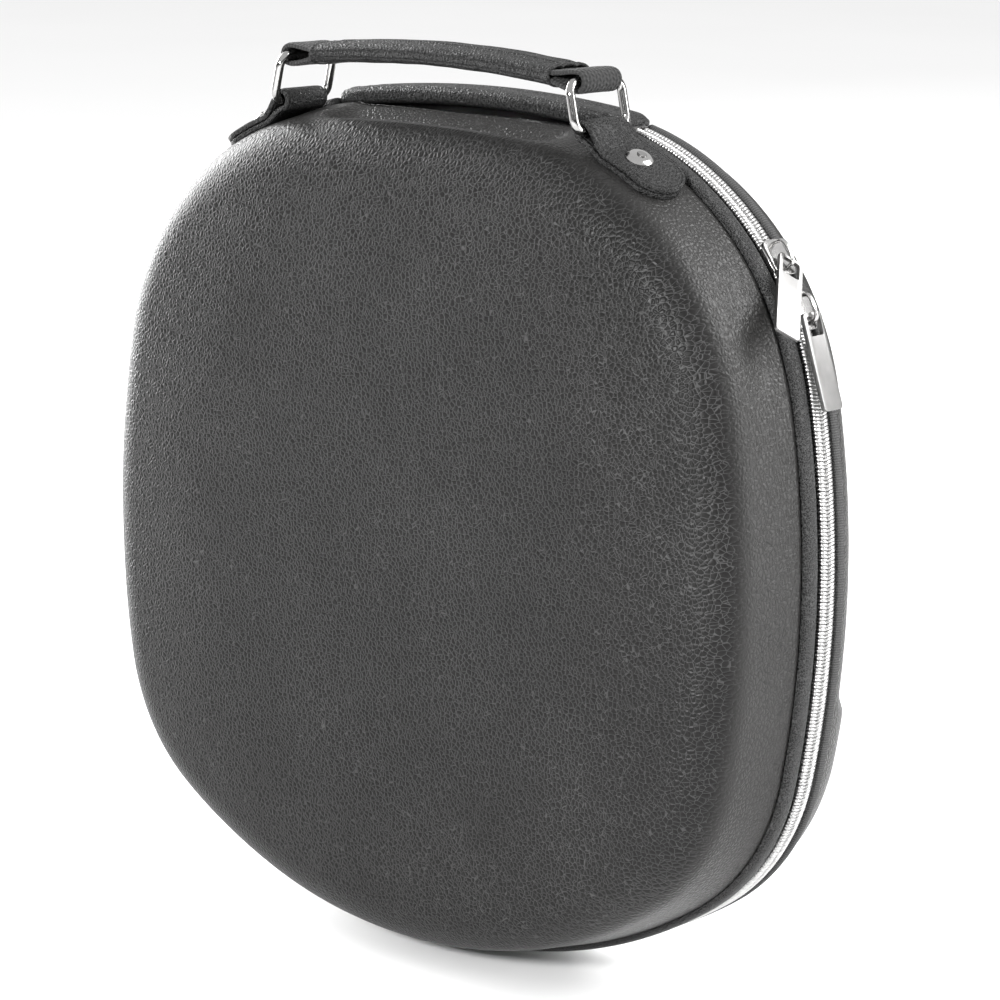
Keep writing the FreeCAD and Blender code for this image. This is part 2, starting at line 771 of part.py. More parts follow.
front_outer, front_inside = make_half("front", front_form, front_seam, front_draft, FRONT, rivet_holes())
back_outer, back_inside = make_half("back", back_form, back_seam, back_draft, BACK, [])
for half_name, half_seam, half_side, half_outer in (("front", front_seam, FRONT, front_outer),
                                                    ("back", back_seam, BACK, back_outer)):
    make_edge(half_name, half_seam, half_side)
    make_leaf(half_name, half_side, half_outer)
make_zip_stops()
make_rivets()
for x_sign, x_name in ((1, "right"), (-1, "left")):
    make_ring(x_sign, x_name + "_ring")
    make_tab(x_sign, x_name + "_handle_tab", front_outer)
make_handle()
make_slider(upper_slider_at, "upper_slider")
make_slider(lower_slider_at, "lower_slider")
make_pull(upper_slider_at, upper_pull_turn, upper_pull_dip, "upper_pull")
make_pull(lower_slider_at, 0, lower_pull_dip, "lower_pull")
make_cradle()
make_pocket(back_inside)
make_feet(back_outer)
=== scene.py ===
import math

import bmesh
import bpy
import numpy as np
from mathutils import Matrix, Vector, noise


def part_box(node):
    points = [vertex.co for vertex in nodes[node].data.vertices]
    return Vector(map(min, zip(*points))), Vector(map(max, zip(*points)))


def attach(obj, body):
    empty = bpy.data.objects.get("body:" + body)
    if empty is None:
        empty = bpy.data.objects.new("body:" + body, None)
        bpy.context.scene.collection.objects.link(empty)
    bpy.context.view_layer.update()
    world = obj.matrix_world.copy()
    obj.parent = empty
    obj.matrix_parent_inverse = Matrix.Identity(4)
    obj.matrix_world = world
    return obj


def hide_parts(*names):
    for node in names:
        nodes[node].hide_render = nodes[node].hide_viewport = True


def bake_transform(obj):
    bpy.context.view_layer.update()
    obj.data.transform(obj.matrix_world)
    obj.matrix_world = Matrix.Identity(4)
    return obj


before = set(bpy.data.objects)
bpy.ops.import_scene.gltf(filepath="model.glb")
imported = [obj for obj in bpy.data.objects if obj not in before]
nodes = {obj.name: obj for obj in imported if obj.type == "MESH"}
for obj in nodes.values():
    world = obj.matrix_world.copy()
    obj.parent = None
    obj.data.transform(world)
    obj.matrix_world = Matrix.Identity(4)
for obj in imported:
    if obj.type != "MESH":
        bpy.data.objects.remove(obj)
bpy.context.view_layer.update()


# ---- Studio ----
# A wide soft ceiling light, soft boxes on the left and on the zip side, and a small one for the
# front edge. A long lens looks slightly down on the front and the zip side of the case.
scene = bpy.context.scene
middle = Vector((0, 0.00875, 0.1418))
camera_yaw = math.radians(40.76)
camera_pitch = math.radians(12.20)
camera_roll = math.radians(1.0)
camera_distance = 1.210
camera_data = bpy.data.cameras.new("camera")
camera_data.sensor_width = 36
camera_data.lens = 131.27
camera_data.shift_x = 0.0164
camera_data.shift_y = 0.0235
camera_data.clip_start = 0.05
camera = bpy.data.objects.new("camera", camera_data)
scene.collection.objects.link(camera)
scene.camera = camera
back = Vector((math.sin(camera_yaw) * math.cos(camera_pitch),
               -math.cos(camera_yaw) * math.cos(camera_pitch), math.sin(camera_pitch)))
level = Vector((math.cos(camera_yaw), math.sin(camera_yaw), 0))
upright = back.cross(level)
across = math.cos(camera_roll) * level + math.sin(camera_roll) * upright
upward = math.cos(camera_roll) * upright - math.sin(camera_roll) * level
camera.matrix_world = Matrix.Translation(middle + back * camera_distance) @ Matrix(
    (across, upward, back)).transposed().to_4x4()


def lamp(name, place, size, power, aim=middle, tint=(1, 1, 1)):
    """A square soft box at a place, turned to the case."""
    data = bpy.data.lights.new(name, "AREA")
    data.size = size
    data.energy = power
    data.color = tint
    box = bpy.data.objects.new(name, data)
    scene.collection.objects.link(box)
    box.location = place
    box.rotation_euler = (Vector(place) - aim).to_track_quat("Z", "Y").to_euler()


lamp("ceiling", (0, 0, 6.0), 40.0, 4700, Vector((0, 0, 0)))
lamp("left_box", (-2.0, 0.3, 0.6), 1.3, 75)
lamp("zip_top_box", (1.3, 1.0, 1.4), 1.1, 55)
lamp("zip_side_box", (2.0, 1.1, 0.4), 0.9, 26)
lamp("edge_box", (0.42, -1.35, 0.66), 0.2, 30)


# ---- Floor ----
# Matt pale paper, a little mottled, lying level under the case.
class Flow:
    """A value in a material's tree. Sums with it add Math nodes."""

    def __init__(self, finish, socket):
        self.finish = finish
        self.socket = socket

    def math(self, operation, *values):
        return self.finish.node("ShaderNodeMath", {"operation": operation}, *values)

    def __add__(self, other):
        return self.math("ADD", self, other)

    def __sub__(self, other):
        return self.math("SUBTRACT", self, other)

    def __rsub__(self, other):
        return self.math("SUBTRACT", other, self)

    def __mul__(self, other):
        return self.math("MULTIPLY", self, other)

    def __truediv__(self, other):
        return self.math("DIVIDE", self, other)

    def __pow__(self, other):
        return self.math("POWER", self, other)

    __radd__ = __add__
    __rmul__ = __mul__


class Finish:
    """A material whose surface is one Principled shader."""

    def __init__(self, name, **constants):
        self.material = bpy.data.materials.new(name)
        self.material.use_nodes = True
        self.tree = self.material.node_tree
        self.shader = self.tree.nodes["Principled BSDF"]
        for socket, value in constants.items():
            self.shader.inputs[socket.replace("_", " ")].default_value = value

    def node(self, kind, settings, *values, out=0, **named):
        made = self.tree.nodes.new(kind)
        for key, value in settings.items():
            setattr(made, key, value)
        pairs = list(zip(made.inputs, values))
        pairs += [(made.inputs[key.replace("_", " ")], value) for key, value in named.items()]
        for socket, value in pairs:
            self.feed(socket, value)
        return Flow(self, made.outputs[out])

    def feed(self, socket, value):
        if isinstance(value, Flow):
            self.tree.links.new(value.socket, socket)
        elif value is not None:
            socket.default_value = value

    def drive(self, **flows):
        for socket, value in flows.items():
            self.feed(self.shader.inputs[socket.replace("_", " ")], value)
        return self.material

    def place(self, kind="Object"):
        return self.node("ShaderNodeTexCoord", {}, out=kind)

    def sine(self, value):
        """A wave from 0 to 1."""
        return self.node("ShaderNodeMath", {"operation": "SINE"}, value) * 0.5 + 0.5

    def stretched(self, vector, scale):
        """The place multiplied along each axis."""
        return self.node("ShaderNodeVectorMath", {"operation": "MULTIPLY"}, vector, scale)

    def parts(self, vector):
        made = self.node("ShaderNodeSeparateXYZ", {}, vector)
        return [Flow(self, out) for out in made.socket.node.outputs]

    def cloud(self, vector, size, detail=2.0):
        """Soft random values from 0 to 1, with features of about a size in metres."""
        return self.node("ShaderNodeTexNoise", {}, Vector=vector, Scale=1 / size, Detail=detail)

    def ramp(self, value, low, high, to_low=0.0, to_high=1.0):
        return self.node("ShaderNodeMapRange", {"interpolation_type": "SMOOTHSTEP"},
                         value, low, high, to_low, to_high)

    def blend(self, share, first, second):
        made = self.tree.nodes.new("ShaderNodeMix")
        made.data_type = "RGBA"
        for index, value in ((0, share), (6, first), (7, second)):
            self.feed(made.inputs[index], value)
        return Flow(self, made.outputs[2])

    def relief(self, height, depth, strength=1.0, under=None):
        """A bump whose full height is a depth in metres."""
        return self.node("ShaderNodeBump", {}, Strength=strength, Distance=depth, Height=height,
                         Normal=under)


def grey(value, warmth=0.0):
    return (value * (1 + warmth), value, value * (1 - warmth), 1)


def put_on(piece, *materials):
    piece.data.materials.clear()
    for material in materials:
        piece.data.materials.append(material)


floor_radius = 40.0
floor_mesh = bpy.data.meshes.new("floor")
floor_build = bmesh.new()
bmesh.ops.create_circle(floor_build, cap_ends=True, segments=96, radius=floor_radius)
floor_build.to_mesh(floor_mesh)
floor_build.free()
floor = bpy.data.objects.new("floor", floor_mesh)
floor.location.z = -0.0002
scene.collection.objects.link(floor)
paper = Finish("pale_paper", Roughness=0.9)
paper_tone = paper.cloud(paper.place(), 0.5)
put_on(floor, paper.drive(Base_Color=paper.blend(paper_tone, grey(0.86), grey(0.9))))

world = bpy.data.worlds.new("studio")
world.use_nodes = True
world.node_tree.nodes["Background"].inputs["Color"].default_value = (1, 1, 1, 1)
world.node_tree.nodes["Background"].inputs["Strength"].default_value = 0.12
scene.world = world
scene.view_settings.view_transform = "Standard"


# ---- Moulded halves ----
# Two heat-moulded foam shells with black pebbled leatherette drawn over them. The front half is
# deep, with a hollow under the handle; the back half is shallow, with a swell low down.
seam_step = 0.0015
skin_low, skin_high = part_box("back_shell_skin")
case_width = 2 * (skin_high.x + seam_step)
case_height = skin_high.z - skin_low.z + 2 * seam_step
zip_y = middle.y
base_z = 0.0008
top_z = base_z + case_height
middle_z = (base_z + top_z) / 2
top_bow = 1.536
bottom_bow = 0.65
turns = [math.radians(v) for v in (6.5, 78.5, 100.5, 145.0)]


def outline_arcs():
    """The outline's tangent arcs as (centre x, centre z, radius, first and last direction)."""
    t, u, s, l = turns
    top = top_bow * case_width
    bottom = bottom_bow * case_width
    rows = [[math.sin(u) - math.sin(t), 1 - math.sin(u), 0],
            [0, 1 - math.sin(s), math.sin(s) - math.sin(l)],
            [math.cos(t) - math.cos(u), math.cos(u) - math.cos(s), math.cos(s) - math.cos(l)]]
    want = [case_width / 2 - top * math.sin(t), case_width / 2 - bottom * math.sin(l),
            case_height - top * (1 - math.cos(t)) - bottom * (1 + math.cos(l))]
    radii = np.linalg.solve(np.array(rows), np.array(want))
    x = 0.0
    z = top_z - top
    right = [(x, z, top, -t, t)]
    previous = top
    for radius, first, last in zip(radii, turns[:3], turns[1:]):
        x += (previous - radius) * math.sin(first)
        z += (previous - radius) * math.cos(first)
        right.append((x, z, radius, first, last))
        previous = radius
    full = 2 * math.pi
    left = [(-a[0], a[1], a[2], full - a[4], full - a[3]) for a in reversed(right[1:])]
    return right + [(0.0, base_z + bottom, bottom, l, full - l)] + left


arcs = outline_arcs()


def stations(step, first=None, last=None):
    """Rows of centre x, centre z, radius, direction and path length, about a step apart."""
    rows = []
    closed = first is None
    if closed:
        first, last = arcs[0][3], arcs[0][3] + 2 * math.pi
    path = 0.0
    for turn in (-2 * math.pi, 0, 2 * math.pi):
        for cx, cz, radius, a, b in arcs:
            low = max(a + turn, first)
            high = min(b + turn, last)
            if high - low < 1e-6:
                continue
            count = max(1, round(radius * (high - low) / step))
            for i in range(count):
                phi = low + (high - low) * i / count
                rows.append((cx, cz, radius, phi, path + radius * (phi - low)))
            path += radius * (high - low)
            end = (cx, cz, radius, high, path)
    if not closed:
        rows.append(end)
    return np.array(rows)


def at(rows, inset, depth, side):
    """Points of each row at an inset from the outline and a depth from the zip line."""
    reach = rows[:, 2] - inset
    return np.stack([rows[:, 0] + reach * np.sin(rows[:, 3]), np.full(len(rows), zip_y + side * depth),
                     rows[:, 1] + reach * np.cos(rows[:, 3])], 1)


def half_profile(d, seam, depth, draft, radius, crown, fine):
    """The half's section as (inset, depth) points from the seam to the start of the flat face.
    The crown eases into the face over twice the length that a straight slope would need."""
    plateau = 0.044
    draft, crown = math.radians(draft), math.radians(crown)
    wall = np.array([math.cos(draft), -math.sin(draft)])
    top = np.array([math.sin(crown), -math.cos(crown)])
    centre = np.linalg.solve(np.array([wall, top]), np.array(
        [wall @ [seam_step, seam] + radius, top @ [plateau, depth] + radius]))
    r = radius - d
    start = np.array([seam_step + d / math.cos(draft), seam])
    wall_end = centre - r * wall
    points = [start + (wall_end - start) * t for t in np.linspace(0, 1, fine + 1)[:-1]]
    for angle in np.linspace(draft, math.pi / 2 - crown, fine + 1):
        points.append(centre + r * np.array([-math.cos(angle), math.sin(angle)]))
    u, v = points[-1]
    rise = depth - d - v
    run = 2 * rise / math.tan(crown)
    for t in np.linspace(0, 1, fine + 1)[1:]:
        points.append(np.array([u + run * t, v + rise * (2 * t - t * t)]))
    return points


def smooth_low(a, b, soft):
    """The lower of two heights, rounded where they cross."""
    h = np.clip(0.5 + 0.5 * (b - a) / soft, 0, 1)
    return b + (a - b) * h - soft * h * (1 - h)


def eased(value, low, high):
    t = np.clip((value - low) / (high - low), 0, 1)
    return t * t * (3 - 2 * t)


bay_half = 0.049
bay_back_drop = 0.004
bay_front_drop = 0.0125
bay_valley = 0.027
front_seam = 0.0114
back_seam = 0.0088
front_depth = zip_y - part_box("front_shell_skin")[0].y
back_depth = 0.025
swell_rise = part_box("back_shell_skin")[1].y - zip_y - back_depth
swell_low, swell_high = middle_z - 0.104, middle_z - 0.038


def shape_front(points, d):
    """Press in the hollow under the handle and a thumb-sized dent beside the seam."""
    depth = zip_y - points[:, 1]
    fall = (bay_front_drop - bay_back_drop) / (bay_valley - front_seam)
    floor_z = top_z - bay_back_drop - fall * (depth - front_seam)
    slope_z = top_z - bay_front_drop + (depth - bay_valley) * math.tan(math.radians(48))
    hollow = -smooth_low(-floor_z, -slope_z, 0.006) - d
    reach = np.abs(points[:, 0])
    hollow = hollow + 0.03 * eased(reach, bay_half - 0.006, bay_half + 0.022)
    upper = points[:, 2] > middle_z + 0.05
    points[upper, 2] = smooth_low(points[upper, 2], hollow[upper], 0.003)
    dent = np.array([0.1285, zip_y - 0.0195, middle_z + 0.073])
    away = (points - dent) / np.array([0.02, 0.0065, 0.0105])
    points[:, 0] -= 0.0019 * np.exp(-(away ** 2).sum(1))
    return points


def shape_back(points, d):
    """Raise the swell across the lower back, with soft ends."""
    share = eased(points[:, 2], swell_low - 0.003, swell_low + 0.009)
    share *= 1 - eased(points[:, 2], swell_high - 0.007, swell_high + 0.002)
    depth = points[:, 1] - zip_y
    points[:, 1] += swell_rise * share * eased(depth, back_seam, back_depth)
    return points


def cells(finish, vector, size, wander):
    """Distance from the nearest edge between grain cells of a size, in cells."""
    drift = finish.node("ShaderNodeTexNoise", {"noise_dimensions": "3D"}, Vector=vector,
                        Scale=0.6 / size, Detail=1.0, out="Color")
    bent = finish.node("ShaderNodeVectorMath", {"operation": "MULTIPLY_ADD"}, drift,
                       (wander * size,) * 3, vector)
    return finish.node("ShaderNodeTexVoronoi", {"feature": "DISTANCE_TO_EDGE"}, Vector=bent,
                       Scale=1 / size, out="Distance")


def mesh_piece(name, points, faces, smooth=True, uv=None):
    """A linked object at the origin from points and faces, with outward normals."""
    mesh = bpy.data.meshes.new(name)
    mesh.from_pydata([tuple(p) for p in points], [], faces)
    if uv is not None:
        layer = mesh.uv_layers.new(name="UVMap")
        loops = np.zeros(len(mesh.loops), int)
        mesh.loops.foreach_get("vertex_index", loops)
        layer.data.foreach_set("uv", np.array(uv, np.float32)[loops].ravel())
    build = bmesh.new()
    build.from_mesh(mesh)
    bmesh.ops.recalc_face_normals(build, faces=build.faces)
    build.to_mesh(mesh)
    build.free()
    mesh.shade_smooth() if smooth else mesh.shade_flat()
    piece = bpy.data.objects.new(name, mesh)
    scene.collection.objects.link(piece)
    return piece


def dish(rows, profile, side, shape, d, rings, edge=()):
    """Points of a bowl: the section carried round the outline, then rings closing on the middle."""
    layers = [at(rows, u, v, side) for u, v in list(edge) + profile]
    last = layers[-1]
    centre = np.array([0, last[0, 1], middle_z])
    for t in np.linspace(1, 0, rings + 1)[1:-1]:
        layers.append(centre + (last - centre) * t)
    points = np.concatenate(layers + [centre[None]])
    return shape(points, d), len(layers)


def moulded(name, side, shape, outer, inner, fine, rings, edge, inner_edge=()):
    """A closed shell between two depths under the half's surface, each (depth under, section)."""
    rows = stations(0.0021)
    n = len(rows)
    faces = []
    points = []
    offset = 0
    firsts = []
    for (d, section), lip in ((outer, edge), (inner, inner_edge)):
        found, layers = dish(rows, half_profile(d, *section, fine), side, shape, d, rings, lip)
        points.append(found)
        firsts.append(offset)
        for layer in range(layers - 1):
            a = offset + layer * n
            faces += [(a + i, a + (i + 1) % n, a + n + (i + 1) % n, a + n + i) for i in range(n)]
        a = offset + (layers - 1) * n
        faces += [(a + i, a + (i + 1) % n, offset + layers * n) for i in range(n)]
        offset += len(found)
    a, b = firsts
    faces += [(a + i, a + (i + 1) % n, b + (i + 1) % n, b + i) for i in range(n)]
    points = np.concatenate(points)
    wave = np.array([noise.noise(Vector(p) / 0.035) for p in points])
    points[:, 1] += side * 0.00022 * wave * eased(np.abs(points[:, 1] - zip_y), 0.012, 0.024)
    return mesh_piece(name, points, faces)


front_section = (front_seam, front_depth, 9, 0.020, 8)
back_section = (back_seam, back_depth, 8, 0.014, 4)
skin_thick = 0.001
core_thick = 0.0035
rolled_edge = [(seam_step + 0.0011, 0.0001), (seam_step + 0.0005, 0.0002), (seam_step + 0.00012, 0.0006)]

leather = Finish("pebbled_leatherette", Specular_IOR_Level=0.17)
spot_at = leather.place()
face_cells = cells(leather, leather.stretched(spot_at, (1.0, 0.2, 1.0)), 0.0015, 0.45)
wall_cells = cells(leather, leather.stretched(spot_at, (1.0, 1.3, 1.0)), 0.0017, 0.45)
on_wall = leather.ramp(leather.parts(spot_at)[1], zip_y - front_depth + 0.010, zip_y - front_depth + 0.021)
grain = face_cells * (1 - on_wall) + wall_cells * on_wall
crease = leather.ramp(grain, 0.0, 0.065, 1, 0)
dome = leather.ramp(grain, 0.0, 0.34)
pores = leather.cloud(spot_at, 0.0003, 1.0)
mottle = leather.cloud(spot_at, 0.045, 3.0)
face_tone = leather.blend(mottle, grey(0.004, 0.03), grey(0.008, 0.03))
# Painted sheen: the walls get a lighter base colour than the face, standing in for the light on them; the
# face keeps its random mottled tone.
tone_with_painted_wall_sheen = leather.blend(on_wall, face_tone, grey(0.026, 0.02))
# Painted highlight and shade: the grain lines are painted light on the face, where they catch light, and dark
# on the wall.
painted_crease_light_and_shade = leather.blend(on_wall, grey(0.055), grey(0.003))
relief_height = dome * leather.ramp(on_wall, 0, 1, 1.0, 0.8) + pores * 0.08
black_leather = leather.drive(
    Base_Color=leather.blend(crease * (0.3 + mottle), tone_with_painted_wall_sheen, painted_crease_light_and_shade),
    Roughness=0.36 + crease * 0.15 + mottle * 0.08 - on_wall * 0.06,
    Normal=leather.relief(relief_height, 0.0002, 0.8))

front_skin = moulded("front_leatherette", -1, shape_front, (0, front_section),
                     (skin_thick, front_section), 13, 18,
                     [(u, front_seam + v) for u, v in rolled_edge])
put_on(front_skin, black_leather)
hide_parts("front_shell_skin")
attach(front_skin, "front_half")

back_skin = moulded("back_leatherette", 1, shape_back, (0, back_section),
                    (skin_thick, back_section), 11, 26,
                    [(u, back_seam + v) for u, v in rolled_edge])
put_on(back_skin, black_leather)
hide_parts("back_shell_skin")
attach(back_skin, "back_half")


# The foam board is grey-black with fine closed cells, seen only at its cut rim; the lining is
# short-pile velour glued inside it.
shell_thick = 0.0053
rim_inset = 0.003
half_gap = 0.00015


def rim_in(d, section):
    return seam_step + d / math.cos(math.radians(section[2]))


board = Finish("foam_board", Roughness=0.9)
board_at = board.place()
board_cells = board.cloud(board_at, 0.0006, 2.0)
foam_board = board.drive(
    Base_Color=board.blend(board_cells, grey(0.02), grey(0.045)),
    Normal=board.relief(board_cells, 0.0001))

pile = Finish("black_velour", Roughness=0.95, Sheen_Weight=0.5, Sheen_Roughness=0.4)
pile_at = pile.place()
pile_tips = pile.cloud(pile_at, 0.0009, 4.0)
pile_lay = pile.cloud(pile_at, 0.03, 3.0)
velour = pile.drive(
    Base_Color=pile.blend(pile_tips * 0.6 + pile_lay * 0.4, grey(0.006, 0.03), grey(0.05, 0.03)),
    Normal=pile.relief(pile_tips, 0.0008))

for half, side, shape, section, body in (("front", -1, shape_front, front_section, "front_half"),
                                         ("back", 1, shape_back, back_section, "back_half")):
    core_d = skin_thick + core_thick
    core = moulded(half + "_foam_shell", side, shape, (skin_thick + 0.00002, section),
                   (core_d, section), 8, 14,
                   [(rim_inset, half_gap), (rim_inset, section[0])], [(rim_in(core_d, section), half_gap)])
    put_on(core, foam_board)
    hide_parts(half + "_shell_core")
    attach(core, body)
    lining = moulded(half + "_velour_lining", side, shape, (core_d + 0.00002, section),
                     (shell_thick, section), 8, 14,
                     [(rim_in(core_d, section) + 0.00002, half_gap)],
                     [(rim_in(shell_thick, section), half_gap)])
    put_on(lining, velour)
    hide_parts(half + "_shell_lining")
    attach(lining, body)


# ---- Edge binding and zip tape ----
# A strip of fine-grained leathercloth rolled over the front rim, ribbed tape binding on the back
# rim, and black woven tape under the coil with ribs across it.
tape_inset = 0.002
binding_proud = 0.0008
strip_turn = math.radians(13.5)
corner_radius = arcs[1][2]
past_strip = strip_turn + 0.0003 / corner_radius
whole_turn = 2 * math.pi


def wound(layers, count, closed=False):
    """Faces between rings of points, one ring after another, with the ends closed."""
    faces = []
    for i in range(layers if closed else layers - 1):
        a, b = i * count, (i + 1) % layers * count
        faces += [(a + k, b + k, b + (k + 1) % count, a + (k + 1) % count) for k in range(count)]
    if not closed:
        faces += [tuple(range(count)), tuple(range((layers - 1) * count, layers * count))]
    return faces


def swept(name, rows, section, side, closed=False):
    """A section of (inset, depth) points carried along the rows, with its length in the UV map."""
    n = len(section)
    layers = np.stack([at(rows, u, v, side) for u, v in section], 1)
    points = layers.reshape(-1, 3)
    around = np.cumsum([0] + [math.dist(a, b) for a, b in zip(section, section[1:])])
    uv = np.stack([np.repeat(rows[:, 4], n), np.tile(around, len(rows))], 1)
    return mesh_piece(name, points, wound(len(rows), n, closed), uv=uv)


def rolled(start, end, low, high, fullness, count=14):
    """A section from start to end in depth that swells from low to high, with a flat underside."""
    points = []
    for angle in np.linspace(0, math.pi, count):
        x = math.copysign(abs(math.cos(angle)) ** (2 / fullness), math.cos(angle))
        y = abs(math.sin(angle)) ** (2 / fullness)
        points.append((low + (high - low) * y, (start + end) / 2 - (end - start) / 2 * x))
    return points


fine = Finish("fine_grained_leathercloth", Specular_IOR_Level=0.24)
fine_at = fine.place()
fine_cells = cells(fine, fine_at, 0.0008, 0.5)
fine_crease = fine.ramp(fine_cells, 0.02, 0.16, 1, 0)
fine_dust = fine.cloud(fine_at, 0.02, 3.0)
# Painted highlight: the crease lines get a lighter colour than the cells, standing in for light caught along
# them.
fine_cloth = fine.drive(
    Base_Color=fine.blend(fine_crease * 0.7, fine.blend(fine_dust, grey(0.005), grey(0.01)), grey(0.055)),
    Roughness=0.5 + fine_crease * 0.15,
    Normal=fine.relief(fine.ramp(fine_cells, 0, 0.4), 0.0003, 1.0))


def ribbed(name, pitch, low, high, thread):
    """Woven tape: ribs across its length, each made of small twisted threads."""
    tape = Finish(name, Roughness=0.8, Specular_IOR_Level=0.3)
    along, cross, _ = tape.parts(tape.place("UV"))
    rib = tape.sine(along * (2 * math.pi / pitch))
    knot = tape.sine(cross * (2 * math.pi / thread) + along * (math.pi / pitch))
    fibre = tape.cloud(tape.place(), 0.0004, 2.0)
    height = rib * 0.7 + knot * 0.3
    return tape.drive(Base_Color=tape.blend(height * 0.7 + fibre * 0.3, grey(low), grey(high)),
                      Normal=tape.relief(height + fibre * 0.2, 0.00018, 0.9))


woven_tape = ribbed("woven_zip_tape", 0.0009, 0.006, 0.05, 0.0007)
binding_tape = ribbed("ribbed_binding_tape", 0.0008, 0.012, 0.075, 0.0006)
edge_rows = stations(0.0016, past_strip, whole_turn - past_strip)
for half, side, seam, cloth, body in (("front", -1, front_seam, fine_cloth, "front_half"),
                                      ("back", 1, back_seam, binding_tape, "back_half")):
    binding_end = seam - 0.0002
    roll = swept(half + "_binding_roll", edge_rows,
                 rolled(0.005, binding_end, tape_inset, -binding_proud, 2.9), side)
    put_on(roll, cloth)
    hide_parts(half + "_rim_binding")
    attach(roll, body)
    tape = swept(half + "_woven_tape", edge_rows,
                 [(tape_inset, half_gap), (tape_inset, 0.0035), (tape_inset - 0.0002, 0.0044),
                  (tape_inset, 0.0052), (tape_inset, binding_end), (rim_inset, binding_end),
                  (rim_inset, half_gap)], side)
    put_on(tape, woven_tape)
    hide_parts(half + "_zip_tape")
    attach(tape, body)


# ---- Zip coil ----
# Each half of the chain is one silvered monofilament wound into flat loops, whose heads lie
# between those of the other half. A loop is a short bent wire with two legs.
coil_pitch = 0.0023
coil_start = strip_turn + 0.0021 / corner_radius
coil_wire = 0.0006
coil_edge = 0.0034
silver = Finish("silvered_coil", Metallic=0.85, Roughness=0.3)
silver_at = silver.place()
silver_wear = silver.cloud(silver_at, 0.0015, 2.0)
silvered = silver.drive(
    Base_Color=silver.blend(silver_wear, grey(0.3), grey(0.55, 0.01)),
    Roughness=0.24 + silver_wear * 0.16,
    Normal=silver.relief(silver.cloud(silver_at, 0.0004, 1.0), 0.00004))


def tube(path, radius, sides=6, flat=1.0):
    """Points and faces of a round wire along a path, with closed ends."""
    path = [Vector(p) for p in path]
    points = []
    for i, p in enumerate(path):
        run = (path[min(i + 1, len(path) - 1)] - path[max(i - 1, 0)]).normalized()
        side = run.cross(Vector((1, 0, 0)) if abs(run.x) < 0.8 else Vector((0, 1, 0))).normalized()
        lift = run.cross(side)
        for k in range(sides):
            a = 2 * math.pi * (k + 0.5) / sides
            points.append(p + side * (radius * math.cos(a)) + lift * (radius * flat * math.sin(a)))
    return points, wound(len(path), sides)


def gather(*solids):
    """The points and faces of several solids as one list of each."""
    points, faces = [], []
    for found, polygons in solids:
        faces += [tuple(i + len(points) for i in polygon) for polygon in polygons]
        points += found
    return points, faces


def coil_loop(side):
    """One loop of the coil: X along the chain, Y in depth and Z outwards, about the zip line."""
    low, high = -tape_inset + coil_wire, binding_proud - coil_wire
    legs = []
    for shift, lean in ((-0.25, 0.14), (0.25, 0.1)):
        x = shift * coil_pitch
        tilt = lean * coil_pitch
        legs.append([(x - tilt, side * (coil_edge - coil_wire), low),
                     (x - tilt, side * (coil_edge - 0.0004), high * 0.2),
                     (x - tilt * 0.7, side * (coil_edge - 0.0011), high), (x, side * 0.0012, high),
                     (x + tilt, side * 0.00055, high * 0.3), (x + tilt, side * 0.0006, low)])
    return gather(*(tube(leg, coil_wire) for leg in legs))


def chain_tree():
    """Loops set at an even pitch along a line, each turned to follow it about the Y axis."""
    tree = bpy.data.node_groups.new("coil_chain", "GeometryNodeTree")
    face = tree.interface
    face.new_socket("Line", in_out="INPUT", socket_type="NodeSocketGeometry")
    for label, kind in (("Pitch", "NodeSocketFloat"), ("Loop", "NodeSocketObject"),
                        ("Metal", "NodeSocketMaterial")):
        face.new_socket(label, in_out="INPUT", socket_type=kind)
    face.new_socket("Chain", in_out="OUTPUT", socket_type="NodeSocketGeometry")
    enter, leave, line, even, run, turn, loop, place, real, metal = (tree.nodes.new(kind) for kind in (
        "NodeGroupInput", "NodeGroupOutput", "GeometryNodeMeshToCurve", "GeometryNodeResampleCurve",
        "GeometryNodeInputTangent", "FunctionNodeAlignRotationToVector", "GeometryNodeObjectInfo",
        "GeometryNodeInstanceOnPoints", "GeometryNodeRealizeInstances", "GeometryNodeSetMaterial"))
    even.mode = "LENGTH"
    turn.axis = "X"
    turn.pivot_axis = "Y"
    for source, output, target, entry in (
            (enter, "Line", line, "Mesh"), (line, "Curve", even, "Curve"), (enter, "Pitch", even, "Length"),
            (run, "Tangent", turn, "Vector"), (enter, "Loop", loop, "Object"),
            (even, "Curve", place, "Points"),
            (loop, "Geometry", place, "Instance"), (turn, "Rotation", place, "Rotation"),
            (place, "Instances", real, "Geometry"), (real, "Geometry", metal, "Geometry"),
            (enter, "Metal", metal, "Material"), (metal, "Geometry", leave, "Chain")):
        tree.links.new(source.outputs[output], target.inputs[entry])
    return tree


def grown(name, base, tree, values):
    """Run a tree on a base mesh and keep what it makes as a plain mesh object."""
    modifier = base.modifiers.new("grow", "NODES")
    modifier.node_group = tree
    for item in tree.interface.items_tree:
        if item.in_out == "INPUT" and item.name in values:
            modifier[item.identifier] = values[item.name]
    bpy.context.view_layer.update()
    made = bpy.data.meshes.new_from_object(base.evaluated_get(bpy.context.evaluated_depsgraph_get()))
    made.name = name
    bpy.data.objects.remove(base)
    piece = bpy.data.objects.new(name, made)
    scene.collection.objects.link(piece)
    return piece


def line_piece(points):
    mesh = bpy.data.meshes.new("line")
    mesh.from_pydata([tuple(p) for p in points], [(i, i + 1) for i in range(len(points) - 1)], [])
    line = bpy.data.objects.new("line", mesh)
    scene.collection.objects.link(line)
    return line


